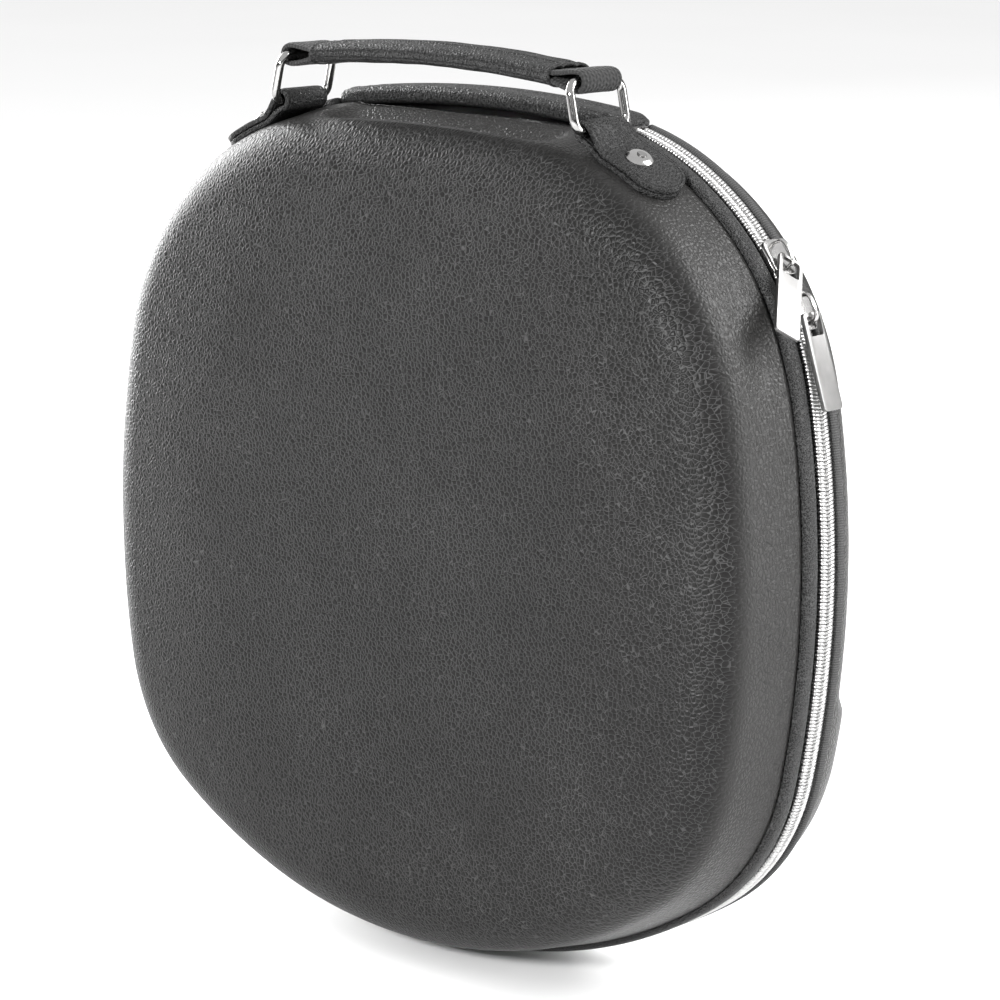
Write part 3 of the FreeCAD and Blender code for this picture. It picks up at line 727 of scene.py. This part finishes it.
chain = chain_tree()
for half, side, body in (("front", -1, "front_half"), ("back", 1, "back_half")):
    loop = mesh_piece("loop", *coil_loop(side))
    shift = 0.5 * coil_pitch / corner_radius if side > 0 else 0
    chain_rows = stations(0.0006, coil_start + shift, whole_turn - coil_start + shift)
    coil = grown(half + "_coil", line_piece(at(chain_rows, 0, 0, side)), chain,
                 {"Pitch": coil_pitch, "Loop": loop, "Metal": silvered})
    bpy.data.objects.remove(loop)
    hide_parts(half + "_zip_coil")
    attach(coil, body)


# ---- Hinge strip ----
# A padded leather strip sewn over both rims at the top: two soft rolls with a fold line between
# them, plump at the ends, with a little gathering there.
strip_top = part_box("front_hinge_leaf")[1].z - top_z
strip_half = 0.0093
strip_rows = stations(0.0011, -strip_turn, strip_turn)


def soft_leather(name, size, low, high, rough, pressed=False):
    """Soft leather with an irregular grain and longer creases across it. A pressed one has a painted
    cut edge with a line beside it, and its UV map gives the distance from that edge."""
    hide = Finish(name, Specular_IOR_Level=0.18)
    where = hide.place()
    pebbles = cells(hide, where, size, 0.7)
    pull = cells(hide, hide.stretched(where, (0.45, 1.0, 1.0)), size * 2.4, 0.9)
    line = hide.ramp(pebbles, 0.01, 0.1, 1, 0)
    fold = hide.ramp(pull, 0.0, 0.05, 1, 0)
    tone = hide.cloud(where, 0.012, 3.0)
    worn = hide.cloud(where, 0.0004, 1.0)
    height = hide.ramp(pebbles, 0, 0.35) - fold * 0.5 + worn * 0.12
    surface = hide.relief(height, 0.00026, 0.9)
    if pressed:
        border = hide.parts(hide.place("UV"))[1]
        groove = hide.ramp(border, 0.0009, 0.00125) * hide.ramp(border, 0.00125, 0.0016, 1, 0)
        paint = hide.ramp(border, 0.0002, 0.0004, 1, 0)
        surface = hide.relief(1 - groove * 0.9 - paint * 0.2, 0.0006, 1.0, surface)
    # Painted highlight: the grain lines get a lighter colour than the cells, standing in for light caught
    # along them.
    return hide.drive(
        Base_Color=hide.blend(line * 0.65, hide.blend(tone, grey(low), grey(high)), grey(0.045)),
        Roughness=rough + line * 0.14 + tone * 0.08,
        Normal=surface)


hinge_leather = soft_leather("hinge_leather", 0.0013, 0.008, 0.015, 0.36)
count = 40
layers = []
for i, row in enumerate(strip_rows):
    t = i / (len(strip_rows) - 1) * 2 - 1
    end = (1 - abs(t) ** 16) ** 0.35
    plump = 1 + 0.12 * math.exp(-((abs(t) - 0.94) / 0.05) ** 2)
    for k in range(count):
        a = 2 * math.pi * k / count
        across_strip = math.copysign(abs(math.cos(a)) ** 0.62, math.cos(a))
        up = math.copysign(abs(math.sin(a)) ** 0.62, math.sin(a))
        depth = strip_half * across_strip * (0.55 + 0.45 * end)
        rise = strip_top * up * (0.35 + 0.65 * end) * (plump if up > 0 else 1)
        if up < 0:
            rise = rim_inset * up * end
        else:
            groove = math.exp(-(depth / 0.0013) ** 2) + 0.5 * math.exp(-((abs(depth) - 0.0078) / 0.0008) ** 2)
            rise -= 0.0009 * groove * up * end
            tuck = noise.noise(Vector((i * 0.5, k * 0.16, 3.0)))
            rise += 0.00035 * tuck * eased(abs(t), 0.72, 0.98)
        layers.append(at(strip_rows[i:i + 1], -rise, depth, 1)[0])
strip = mesh_piece("hinge_strip", layers, wound(len(strip_rows), count))
put_on(strip, hinge_leather)
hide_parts("front_hinge_leaf", "back_hinge_leaf")
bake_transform(strip)


# ---- Handle tabs ----
# Each tab is one strip of leather folded round the ring's lower bar, both ends rounded and riveted
# flat to the sloping wall. The cut edges are painted.
front_draft = math.radians(front_section[2])
tab_half = 0.0095
tab_thick = 0.002
tab_middle = 0.022
tab_fold, tab_joined, tab_tip, rivet_at = (math.radians(v) for v in (15.5, 21.5, 35.0, 25.3))
bar = 0.0015
pin_gap = 0.0003
corner_x, corner_z = arcs[1][0], arcs[1][1]


def wall_reach(depth):
    """The front wall's distance from the upper corner's centre, at a depth from the zip line."""
    return corner_radius - seam_step - (depth - front_seam) * math.tan(front_draft)


def band(name, frames, count=28, square=0.35, closed=False, swell=None, mark=None):
    """A strap through frames of (centre, width direction, thickness direction, half width, half
    thickness), with rounded edges. Its UV map runs along it and across it."""
    points, uv = [], []
    run = 0.0
    for i, (centre, wide, thick, a, b) in enumerate(frames):
        run += (centre - frames[i - 1][0]).length if i else 0
        for k in range(count):
            angle = 2 * math.pi * (k + 0.5) / count
            c = math.copysign(abs(math.cos(angle)) ** square, math.cos(angle))
            s = math.copysign(abs(math.sin(angle)) ** square, math.sin(angle))
            extra = swell(a * c, run) if swell else 0
            points.append(centre + wide * (a * c) + thick * ((b + extra) * s))
            uv.append(mark(run, a * c) if mark else (run, a * c))
    return mesh_piece(name, points, wound(len(frames), count, closed), uv=uv)


def tab_path():
    """Places of the strip's middle line as (distance from the corner's centre, direction, tilt)."""
    top = wall_reach(tab_middle - tab_half)
    low = wall_reach(tab_middle)
    path = []
    for phi in np.linspace(tab_tip, tab_fold, 44):
        share = 1 - eased(phi, tab_fold, tab_joined)
        path.append((low + tab_thick / 2 + (top - low) * share, phi, front_draft * (1 - share)))
    fold = bar + pin_gap + tab_thick / 2
    stand = top + tab_thick + pin_gap + bar
    for angle in np.linspace(0, math.pi, 15)[1:-1]:
        path.append((stand - fold * math.cos(angle), tab_fold - fold * math.sin(angle) / stand, 0.0))
    for phi in np.linspace(tab_fold, tab_tip, 44):
        share = 1 - eased(phi, tab_fold - 0.01, tab_joined)
        path.append((low + tab_thick * 1.52 + (stand + fold - low - tab_thick * 1.5) * share, phi,
                     front_draft * (1 - share)))
    return path


def wall_frame(reach, phi, tilt, side_x):
    """A point beside the wall with its width direction and its outward direction."""
    radial = Vector((side_x * math.sin(phi), 0, math.cos(phi)))
    forward = Vector((0, -1, 0))
    place = Vector((side_x * (corner_x + reach * math.sin(phi)), zip_y - tab_middle,
                    corner_z + reach * math.cos(phi)))
    return (place, forward * math.cos(tilt) - radial * math.sin(tilt),
            radial * math.cos(tilt) + forward * math.sin(tilt))


grip_leather = soft_leather("grip_leather", 0.0013, 0.006, 0.012, 0.42)
tab_leather = soft_leather("tab_leather", 0.0013, 0.006, 0.012, 0.4, pressed=True)
for side_x, name in ((1, "right"), (-1, "left")):
    places = [wall_frame(*spot, side_x) for spot in tab_path()]
    run = np.cumsum([0] + [(b[0] - a[0]).length for a, b in zip(places, places[1:])])
    frames = []
    for i, (place, wide, _) in enumerate(places):
        along = (places[min(i + 1, len(places) - 1)][0] - places[max(i - 1, 0)][0]).normalized()
        reach = max(0.00012, min(run[i], run[-1] - run[i]))
        edge = tab_half if reach > tab_half else math.sqrt(tab_half ** 2 - (tab_half - reach) ** 2)
        frames.append((place, wide, wide.cross(along).normalized(), edge,
                       tab_thick / 2 * min(1.0, 0.45 + reach / 0.0012)))
    whole = run[-1]

    def border(along, side):
        """How far a point of the strip is from its cut edge."""
        end = min(along, whole - along)
        return along, tab_half - math.hypot(max(0.0, tab_half - end), abs(side))

    tab = band(name + "_tab", frames, 32, 0.3, mark=border)
    put_on(tab, tab_leather)
    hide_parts(name + "_handle_tab")
    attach(tab, "front_half")


# ---- Rivets ----
# Nickel caps with a flat face and a bevelled rim, pressed into the leather. Posts and washers
# hold them from inside.
def nickel(name, low, high, rough, scratch):
    """Plated metal: faint cloudy polish, fine scratches and a soft waviness."""
    plate = Finish(name, Metallic=1.0)
    where = plate.place()
    haze = plate.cloud(where, 0.004, 3.0)
    lines = plate.cloud(plate.stretched(where, (1.0, 6.0, 1.0)), 0.0012, 2.0)
    return plate.drive(Base_Color=plate.blend(haze, grey(low, 0.01), grey(high, 0.012)),
                       Roughness=rough + lines * scratch,
                       Normal=plate.relief(lines, 0.00002, 0.5))


bright_nickel = nickel("bright_nickel", 0.32, 0.44, 0.13, 0.12)
satin_nickel = nickel("satin_nickel", 0.2, 0.28, 0.26, 0.16)
polished_steel = nickel("polished_steel", 0.26, 0.4, 0.05, 0.08)


def dress(node, material):
    """Give a carried-over part its finish."""
    for slot in nodes[node].material_slots:
        slot.material = material
    if not nodes[node].material_slots:
        nodes[node].data.materials.append(material)


def turned(name, outline, frames, count=48):
    """A turned shape from (radius, height) points, once at each (place, axis)."""
    solids = []
    for place, axis in frames:
        points = []
        side = axis.orthogonal().normalized()
        other = axis.cross(side)
        for radius, height in outline:
            points += [place + axis * height + side * (radius * math.cos(2 * math.pi * k / count))
                       + other * (radius * math.sin(2 * math.pi * k / count)) for k in range(count)]
        solids.append((points, wound(len(outline), count)))
    return mesh_piece(name, *gather(*solids))


def sharpen(piece, degrees=35):
    """Keep hard corners crisp on a smooth shaded piece."""
    piece.data.shade_smooth()
    edges = bmesh.new()
    edges.from_mesh(piece.data)
    for edge in edges.edges:
        edge.smooth = edge.calc_face_angle(0) < math.radians(degrees)
    edges.to_mesh(piece.data)
    edges.free()


cap_line = [(0.0046, -0.0007), (0.0046, 0.00025), (0.00448, 0.0004), (0.0034, 0.00108), (0.0033, 0.00112),
            (0.001, 0.00118)]
cap_seats = []
for side_x in (1, -1):
    place, _, out = wall_frame(wall_reach(tab_middle), rivet_at, front_draft, side_x)
    cap_seats.append((place + out * (2 * tab_thick), out))
caps = turned("rivet_caps_turned", cap_line, cap_seats)
sharpen(caps, 28)
put_on(caps, bright_nickel)
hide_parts("rivet_caps")
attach(caps, "front_half")
dress("rivet_posts", satin_nickel)
dress("rivet_washers", satin_nickel)
dress("right_ring", polished_steel)
dress("left_ring", polished_steel)


# ---- Handle ----
# One loop of coarse webbing passes through both rings inside a padded leather grip, whose ends
# are turned in. Two sewn channels run along the grip's top.
ring_low, ring_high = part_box("right_ring")
head = Vector((ring_low.x + bar, 0, ring_high.z - bar))
tab_y = zip_y - tab_middle
grip_low, grip_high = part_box("handle_grip_wrap")
grip_half = grip_high.x
grip_z = (grip_low.z + grip_high.z) / 2
web_thick = 0.0009
web_half = 0.00925
loop_radius = 0.003
bow = 0.0028


def grip_rise(x):
    """How far the handle bows up at a place along it."""
    return bow * max(0.0, 1 - (x / grip_half) ** 2)


def web_line():
    """The middle line of the webbing loop, from the middle of its top run round both rings."""
    def run(side, places):
        for x in places:
            share = eased(x, grip_half - 0.004, head.x)
            inner = grip_z + side * web_thick
            right.append((x, inner + (head.z + side * loop_radius - inner) * share + grip_rise(x)))

    right = []
    run(1, np.linspace(0, head.x, 46)[:-1])
    for angle in np.linspace(math.pi / 2, -math.pi / 2, 17):
        right.append((head.x + loop_radius * math.cos(angle), head.z + loop_radius * math.sin(angle)))
    run(-1, np.linspace(head.x, 0, 46)[1:])
    left = [(-x, z) for x, z in reversed(right[1:-1])]
    return [Vector((x, tab_y, z)) for x, z in right + left]


weave = Finish("coarse_webbing", Roughness=0.85, Sheen_Weight=0.06, Specular_IOR_Level=0.3)
web_run, web_side, _ = weave.parts(weave.place("UV"))
warp = weave.sine(web_side * (2 * math.pi / 0.0016))
weft = weave.sine(web_run * (2 * math.pi / 0.0013) + weave.sine(web_side * (math.pi / 0.0016)) * math.pi)
fibres = weave.cloud(weave.place(), 0.00035, 2.0)
threads = warp * 0.45 + weft * 0.55
webbing_cloth = weave.drive(
    Base_Color=weave.blend(threads * 0.7 + fibres * 0.3, grey(0.004), grey(0.026)),
    Normal=weave.relief(threads + fibres * 0.25, 0.0004, 1.0))

line = web_line()
frames = []
for i, place in enumerate(line):
    along = (line[(i + 1) % len(line)] - line[i - 1]).normalized()
    wide = Vector((0, 1, 0))
    frames.append((place, wide, wide.cross(along).normalized(), web_half, web_thick * 0.94))
webbing = band("handle_webbing_loop", frames, 72, 0.3, True,
               lambda side, run: 0.00009 * math.cos(2 * math.pi * side / 0.0016))
put_on(webbing, webbing_cloth)
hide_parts("handle_webbing")
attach(webbing, "handle")

grip_wide = (grip_high.y - grip_low.y) / 2
grip_tall = (grip_high.z - grip_low.z) / 2
channel = 0.0034
turned_end = [(-0.0016, 1.0, 1.0), (-0.0011, 1.015, 1.05), (-0.0006, 1.02, 1.08), (-0.0002, 1.0, 1.04),
              (0.0, 0.96, 0.93), (-0.0002, 0.92, 0.8), (-0.0012, 0.9, 0.66), (-0.003, 0.89, 0.6)]
stops = [(-(grip_half + x), wide, tall) for x, wide, tall in reversed(turned_end)]
stops += [(x, 1.0, 1.0) for x in np.linspace(-grip_half + 0.0022, grip_half - 0.0022, 84)]
stops += [(grip_half + x, wide, tall) for x, wide, tall in turned_end]
points = []
count = 128
for x, wide, tall in stops:
    inner = eased(grip_half - abs(x), 0.0012, 0.005)
    for k in range(count):
        angle = 2 * math.pi * (k + 0.5) / count
        c = math.copysign(abs(math.cos(angle)) ** 0.66, math.cos(angle))
        s = math.copysign(abs(math.sin(angle)) ** 0.66, math.sin(angle))
        y = grip_wide * wide * c
        z = grip_tall * tall * s
        wobble = noise.noise(Vector((x / 0.011, c * 2.2, s * 2.2)))
        if s > 0:
            cut = sum(math.exp(-((y - place) / 0.0008) ** 2) for place in (-channel, channel))
            lift = sum(math.exp(-((abs(y - place) - 0.0014) / 0.0009) ** 2) for place in (-channel, channel))
            z += (0.0004 * lift - 0.0016 * cut) * (0.35 + 0.65 * inner) * s
        side_crease = sum(math.exp(-((s - place) / 0.09) ** 2) for place in (-0.42, 0.2))
        y -= math.copysign(0.00042, c) * side_crease * inner * eased(abs(c), 0.8, 0.97)
        z += 0.00022 * wobble * inner
        points.append((x, tab_y + y, grip_z + z + grip_rise(x)))
grip = mesh_piece("padded_grip", points, wound(len(stops), count))
put_on(grip, grip_leather)
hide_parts("handle_grip_wrap", "handle_padding")
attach(grip, "handle")


# ---- Zip sliders and pulls ----
# Two cast nickel sliders with an arched bridge each, and flat bevelled pulls whose end bars lie
# under the bridges. One pull is turned to the front, and the other lies along the chain.
plate_low, plate_top = 0.0012, 0.0025
plate_bevel = 0.00035
plate_corner = 0.0026
plate_waist = 0.1
slider_half, slider_wide = 0.00625, 0.0049
lip_in, lip_setback = 0.0038, 0.002
lip_drop, lip_bevel, lip_corner = 0.0016, 0.0002, 0.0004
bridge_half, bridge_tall, bridge_thick, bridge_wide = 0.005, 0.0049, 0.0012, 0.00156
bridge_lean = 0.0004
leg_half = 0.0008
bridge_spring = 0.6
pull_seat = 0.0018
pull_start, pull_end, pull_wide, pull_corner = -0.0006, 0.030, 0.0047, 0.0013
pull_thick, pull_bevel, pull_rim = 0.0007, 0.00022, 0.00022
hole_start, hole_end, hole_wide, hole_corner = 0.0006, 0.0067, 0.0033, 0.0009
poses = (("upper", 52.8, 38, 3), ("lower", 63.2, 0, 8))


def chain_place(point, phi):
    """A point given along the chain, in depth and outwards, moved to its place on the outline."""
    x, y, z = point
    reach = corner_radius + z
    return Vector((corner_x + reach * math.sin(phi) + x * math.cos(phi), y + zip_y,
                   corner_z + reach * math.cos(phi) - x * math.sin(phi)))


def rounded_outline(low, high, half, corner, count=6):
    """Points round a rectangle with rounded corners."""
    points = []
    for cx, cy, start in ((high - corner, half - corner, 0), (low + corner, half - corner, 90),
                          (low + corner, corner - half, 180), (high - corner, corner - half, 270)):
        for angle in np.radians(np.linspace(start, start + 90, count)):
            points.append((cx + corner * math.cos(angle), cy + corner * math.sin(angle)))
    return points


def slab(outer, low, high, bevel, hole=None, lip=0.0):
    """A plate between two heights with bevelled edges, and a hole whose rim stands up by a lip."""
    build = bmesh.new()
    loops = []
    shapes = [outer] + ([hole] if hole else [])
    for z in (low, high):
        for shape in shapes:
            loops.append([build.verts.new((x, y, z)) for x, y in shape])
    n = len(outer)
    if hole:
        pairs = [(loops[0], loops[1]), (loops[3], loops[2]), (loops[2], loops[0]), (loops[1], loops[3])]
    else:
        build.faces.new(loops[0])
        build.faces.new(list(reversed(loops[1])))
        pairs = [(loops[1], loops[0])]
    for a, b in pairs:
        for i in range(n):
            build.faces.new((a[i], a[(i + 1) % n], b[(i + 1) % n], b[i]))
    bmesh.ops.recalc_face_normals(build, faces=build.faces)
    sharp = [e for e in build.edges if e.calc_face_angle(0) > math.radians(50)]
    bmesh.ops.bevel(build, geom=sharp, offset=bevel, segments=3, profile=0.6, affect="EDGES")
    if hole:
        middle_x = sum(x for x, _ in hole) / n
        reach = max(x for x, _ in hole) - middle_x
        for v in build.verts:
            away = max(abs(v.co.x - middle_x), abs(v.co.y) * reach / max(y for _, y in hole))
            if v.co.z > (low + high) / 2 and away < reach * 1.25:
                v.co.z += lip
    mesh = bpy.data.meshes.new("slab")
    build.to_mesh(mesh)
    build.free()
    points = [tuple(v.co) for v in mesh.vertices]
    faces = [tuple(f.vertices) for f in mesh.polygons]
    return points, faces


def bridge():
    """The arch over the plate: a bent bar with rounded edges."""
    foot = bridge_half - bridge_thick / 2
    spring = plate_top + bridge_spring * bridge_tall
    crown = bridge_tall * (1 - bridge_spring) - bridge_thick / 2
    leg = [(foot + 0.0001, plate_top - 0.0004), (foot, plate_top + 0.0009), (foot - 0.0003, spring - 0.0006)]
    path = [(-x, z) for x, z in leg]
    for angle in np.linspace(math.pi, 0, 15)[1:-1]:
        path.append(((foot - bridge_lean) * math.cos(angle), spring + crown * math.sin(angle)))
    path += reversed(leg)
    points = []
    count = 14
    for i, (x, z) in enumerate(path):
        a, b = path[max(i - 1, 0)], path[min(i + 1, len(path) - 1)]
        run = Vector((b[0] - a[0], 0, b[1] - a[1])).normalized()
        out = Vector((-run.z, 0, run.x))
        for k in range(count):
            angle = 2 * math.pi * (k + 0.5) / count
            c = math.copysign(abs(math.cos(angle)) ** 0.6, math.cos(angle))
            s = math.copysign(abs(math.sin(angle)) ** 0.8, math.sin(angle))
            points.append(tuple(Vector((x, bridge_wide / 2 * c, z)) + out * (bridge_thick / 2 * s)))
    return points, wound(len(path), count)


slider_outline = [(x, y * (1 - plate_waist * math.cos(x / slider_half * math.pi / 2)))
                  for x, y in rounded_outline(-slider_half, slider_half, slider_wide, plate_corner, 7)]
lip_outline = [(x, y - (slider_wide + lip_in) / 2) for x, y in
               rounded_outline(lip_setback - slider_half, slider_half - lip_setback,
                               (slider_wide - lip_in) / 2, lip_corner, 3)]
bar_reach = math.hypot(leg_half, bridge_thick / 2) + math.hypot(hole_start, pull_thick) + pin_gap
bridge_leg = bridge_half - bridge_thick / 2 - bridge_lean * pull_seat / bridge_tall
pull_outline = rounded_outline(pull_start, pull_end, pull_wide, pull_corner)
pull_hole = rounded_outline(hole_start, hole_end, hole_wide, hole_corner)
for name, *angles in poses:
    phi, turn, dip = (math.radians(v) for v in angles)
    points, faces = gather(slab(slider_outline, plate_low, plate_top, plate_bevel),
                           slab(lip_outline, -lip_drop, plate_low + 0.0003, lip_bevel), bridge())
    slider = mesh_piece(name + "_zip_slider", [chain_place(p, phi) for p in points], faces)
    sharpen(slider, 40)
    put_on(slider, bright_nickel)
    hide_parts(name + "_slider")
    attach(slider, name + "_slider")
    rim = pull_rim if name == "lower" else 0.0
    points, faces = slab(pull_outline, -pull_thick, pull_thick, pull_bevel, pull_hole, rim)
    pivot = Vector((bridge_leg - bar_reach * math.cos(turn), bar_reach * math.sin(turn),
                    plate_top + pull_seat))
    spin = Matrix.Rotation(-turn, 3, "Z") @ Matrix.Rotation(dip, 3, "Y")
    points = [chain_place(spin @ Vector(p) + pivot, phi) for p in points]
    pull = mesh_piece(name + "_zip_pull", points, faces)
    sharpen(pull, 25)
    put_on(pull, satin_nickel)
    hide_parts(name + "_pull")
    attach(pull, name + "_pull")
dress("front_zip_stops", satin_nickel)
dress("back_zip_stops", satin_nickel)


# ---- Headphone cradle ----
# A foam insert under the same velour, moulded with a round well for each ear cup and a channel
# for the band. Its edges are soft.
def softened(name, node, voxel, rounds):
    """A closed copy of a CAD solid with its hard edges relaxed."""
    mesh = nodes[node].data.copy()
    build = bmesh.new()
    build.from_mesh(mesh)
    bmesh.ops.remove_doubles(build, verts=build.verts, dist=1e-6)
    build.to_mesh(mesh)
    build.free()
    raw = bpy.data.objects.new(name + "_raw", mesh)
    scene.collection.objects.link(raw)
    remesh = raw.modifiers.new("even", "REMESH")
    remesh.mode = "VOXEL"
    remesh.voxel_size = voxel
    relax = raw.modifiers.new("relax", "SMOOTH")
    relax.factor = 0.6
    relax.iterations = rounds
    bpy.context.view_layer.update()
    made = bpy.data.meshes.new_from_object(raw.evaluated_get(bpy.context.evaluated_depsgraph_get()))
    bpy.data.objects.remove(raw)
    made.name = name
    piece = bpy.data.objects.new(name, made)
    scene.collection.objects.link(piece)
    made.shade_smooth()
    return piece


cradle = softened("velour_cradle", "headphone_cradle", 0.003, 6)
put_on(cradle, velour)
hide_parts("headphone_cradle")
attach(cradle, "front_half")


# ---- Mesh pocket ----
# Stretch mesh over the lower back half for a cable, with round holes knitted through it and a
# ribbed elastic band along its top.
pocket_low, pocket_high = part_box("pocket_mesh")
pocket_y = (pocket_low.y + pocket_high.y) / 2
pocket_inset = seam_step + (pocket_y - zip_y - back_seam) * math.tan(math.radians(8)) + shell_thick + 0.0004
ring_points = at(stations(0.002), pocket_inset, pocket_y - zip_y, 1)
right_side = ring_points[ring_points[:, 0] > 0]
right_side = right_side[np.argsort(right_side[:, 2])]
pocket_rows = np.linspace(right_side[0, 2] + 0.0004, pocket_high.z, 48)
pocket_cols = np.linspace(-1, 1, 61)
points, uv = [], []
for z in pocket_rows:
    half_width = np.interp(z, right_side[:, 2], right_side[:, 0])
    for c in pocket_cols:
        x = half_width * c
        slack = 0.0014 * (1 - c * c) * eased(z, pocket_low.z + 0.03, pocket_high.z)
        points.append((x, pocket_y - slack, z))
        uv.append((x, z))
n = len(pocket_cols)
faces = [(i * n + j, i * n + j + 1, (i + 1) * n + j + 1, (i + 1) * n + j)
         for i in range(len(pocket_rows) - 1) for j in range(n - 1)]
pocket = mesh_piece("pocket_net", points, faces, uv=uv)
wall = pocket.modifiers.new("cloth", "SOLIDIFY")
wall.thickness = 0.0005
wall.offset = 0
net = Finish("knitted_net", Roughness=0.8)
u, v, _ = net.parts(net.place("UV"))
hole_size = 0.0026
wave_u = net.sine(u * (2 * math.pi / hole_size))
wave_v = net.sine(v * (2 * math.pi / hole_size) + u * (math.pi / hole_size))
open_share = net.ramp(wave_u * wave_v, 0.34, 0.42, 1, 0)
yarn = net.cloud(net.place(), 0.0004, 2.0)
put_on(pocket, net.drive(Base_Color=net.blend(yarn, grey(0.01), grey(0.04)), Alpha=open_share,
                         Normal=net.relief(yarn + open_share, 0.0002)))
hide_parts("pocket_mesh")
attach(pocket, "back_half")

band_low, band_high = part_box("pocket_binding")
elastic = ribbed("ribbed_elastic", 0.0011, 0.01, 0.06, 0.0009)
frames = []
for x in np.linspace(band_low.x + 0.0006, band_high.x - 0.0006, 90):
    frames.append((Vector((x, pocket_y, (band_low.z + band_high.z) / 2)), Vector((0, 0, 1)),
                   Vector((0, -1, 0)), (band_high.z - band_low.z) / 2, 0.0011))
edge_band = band("pocket_elastic", frames, 28, 0.5, False,
                 lambda side, run: 0.00016 * math.sin(2 * math.pi * run / 0.0044))
put_on(edge_band, elastic)
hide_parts("pocket_binding")
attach(edge_band, "back_half")


# ---- Feet ----
# Two small rubber studs on the swell keep the back off a table.
rubber = Finish("foot_rubber", Roughness=0.75)
rubber_dust = rubber.cloud(rubber.place(), 0.0008, 3.0)
dress("back_feet", rubber.drive(Base_Color=rubber.blend(rubber_dust, grey(0.012), grey(0.035)),
                                Normal=rubber.relief(rubber_dust, 0.00006)))
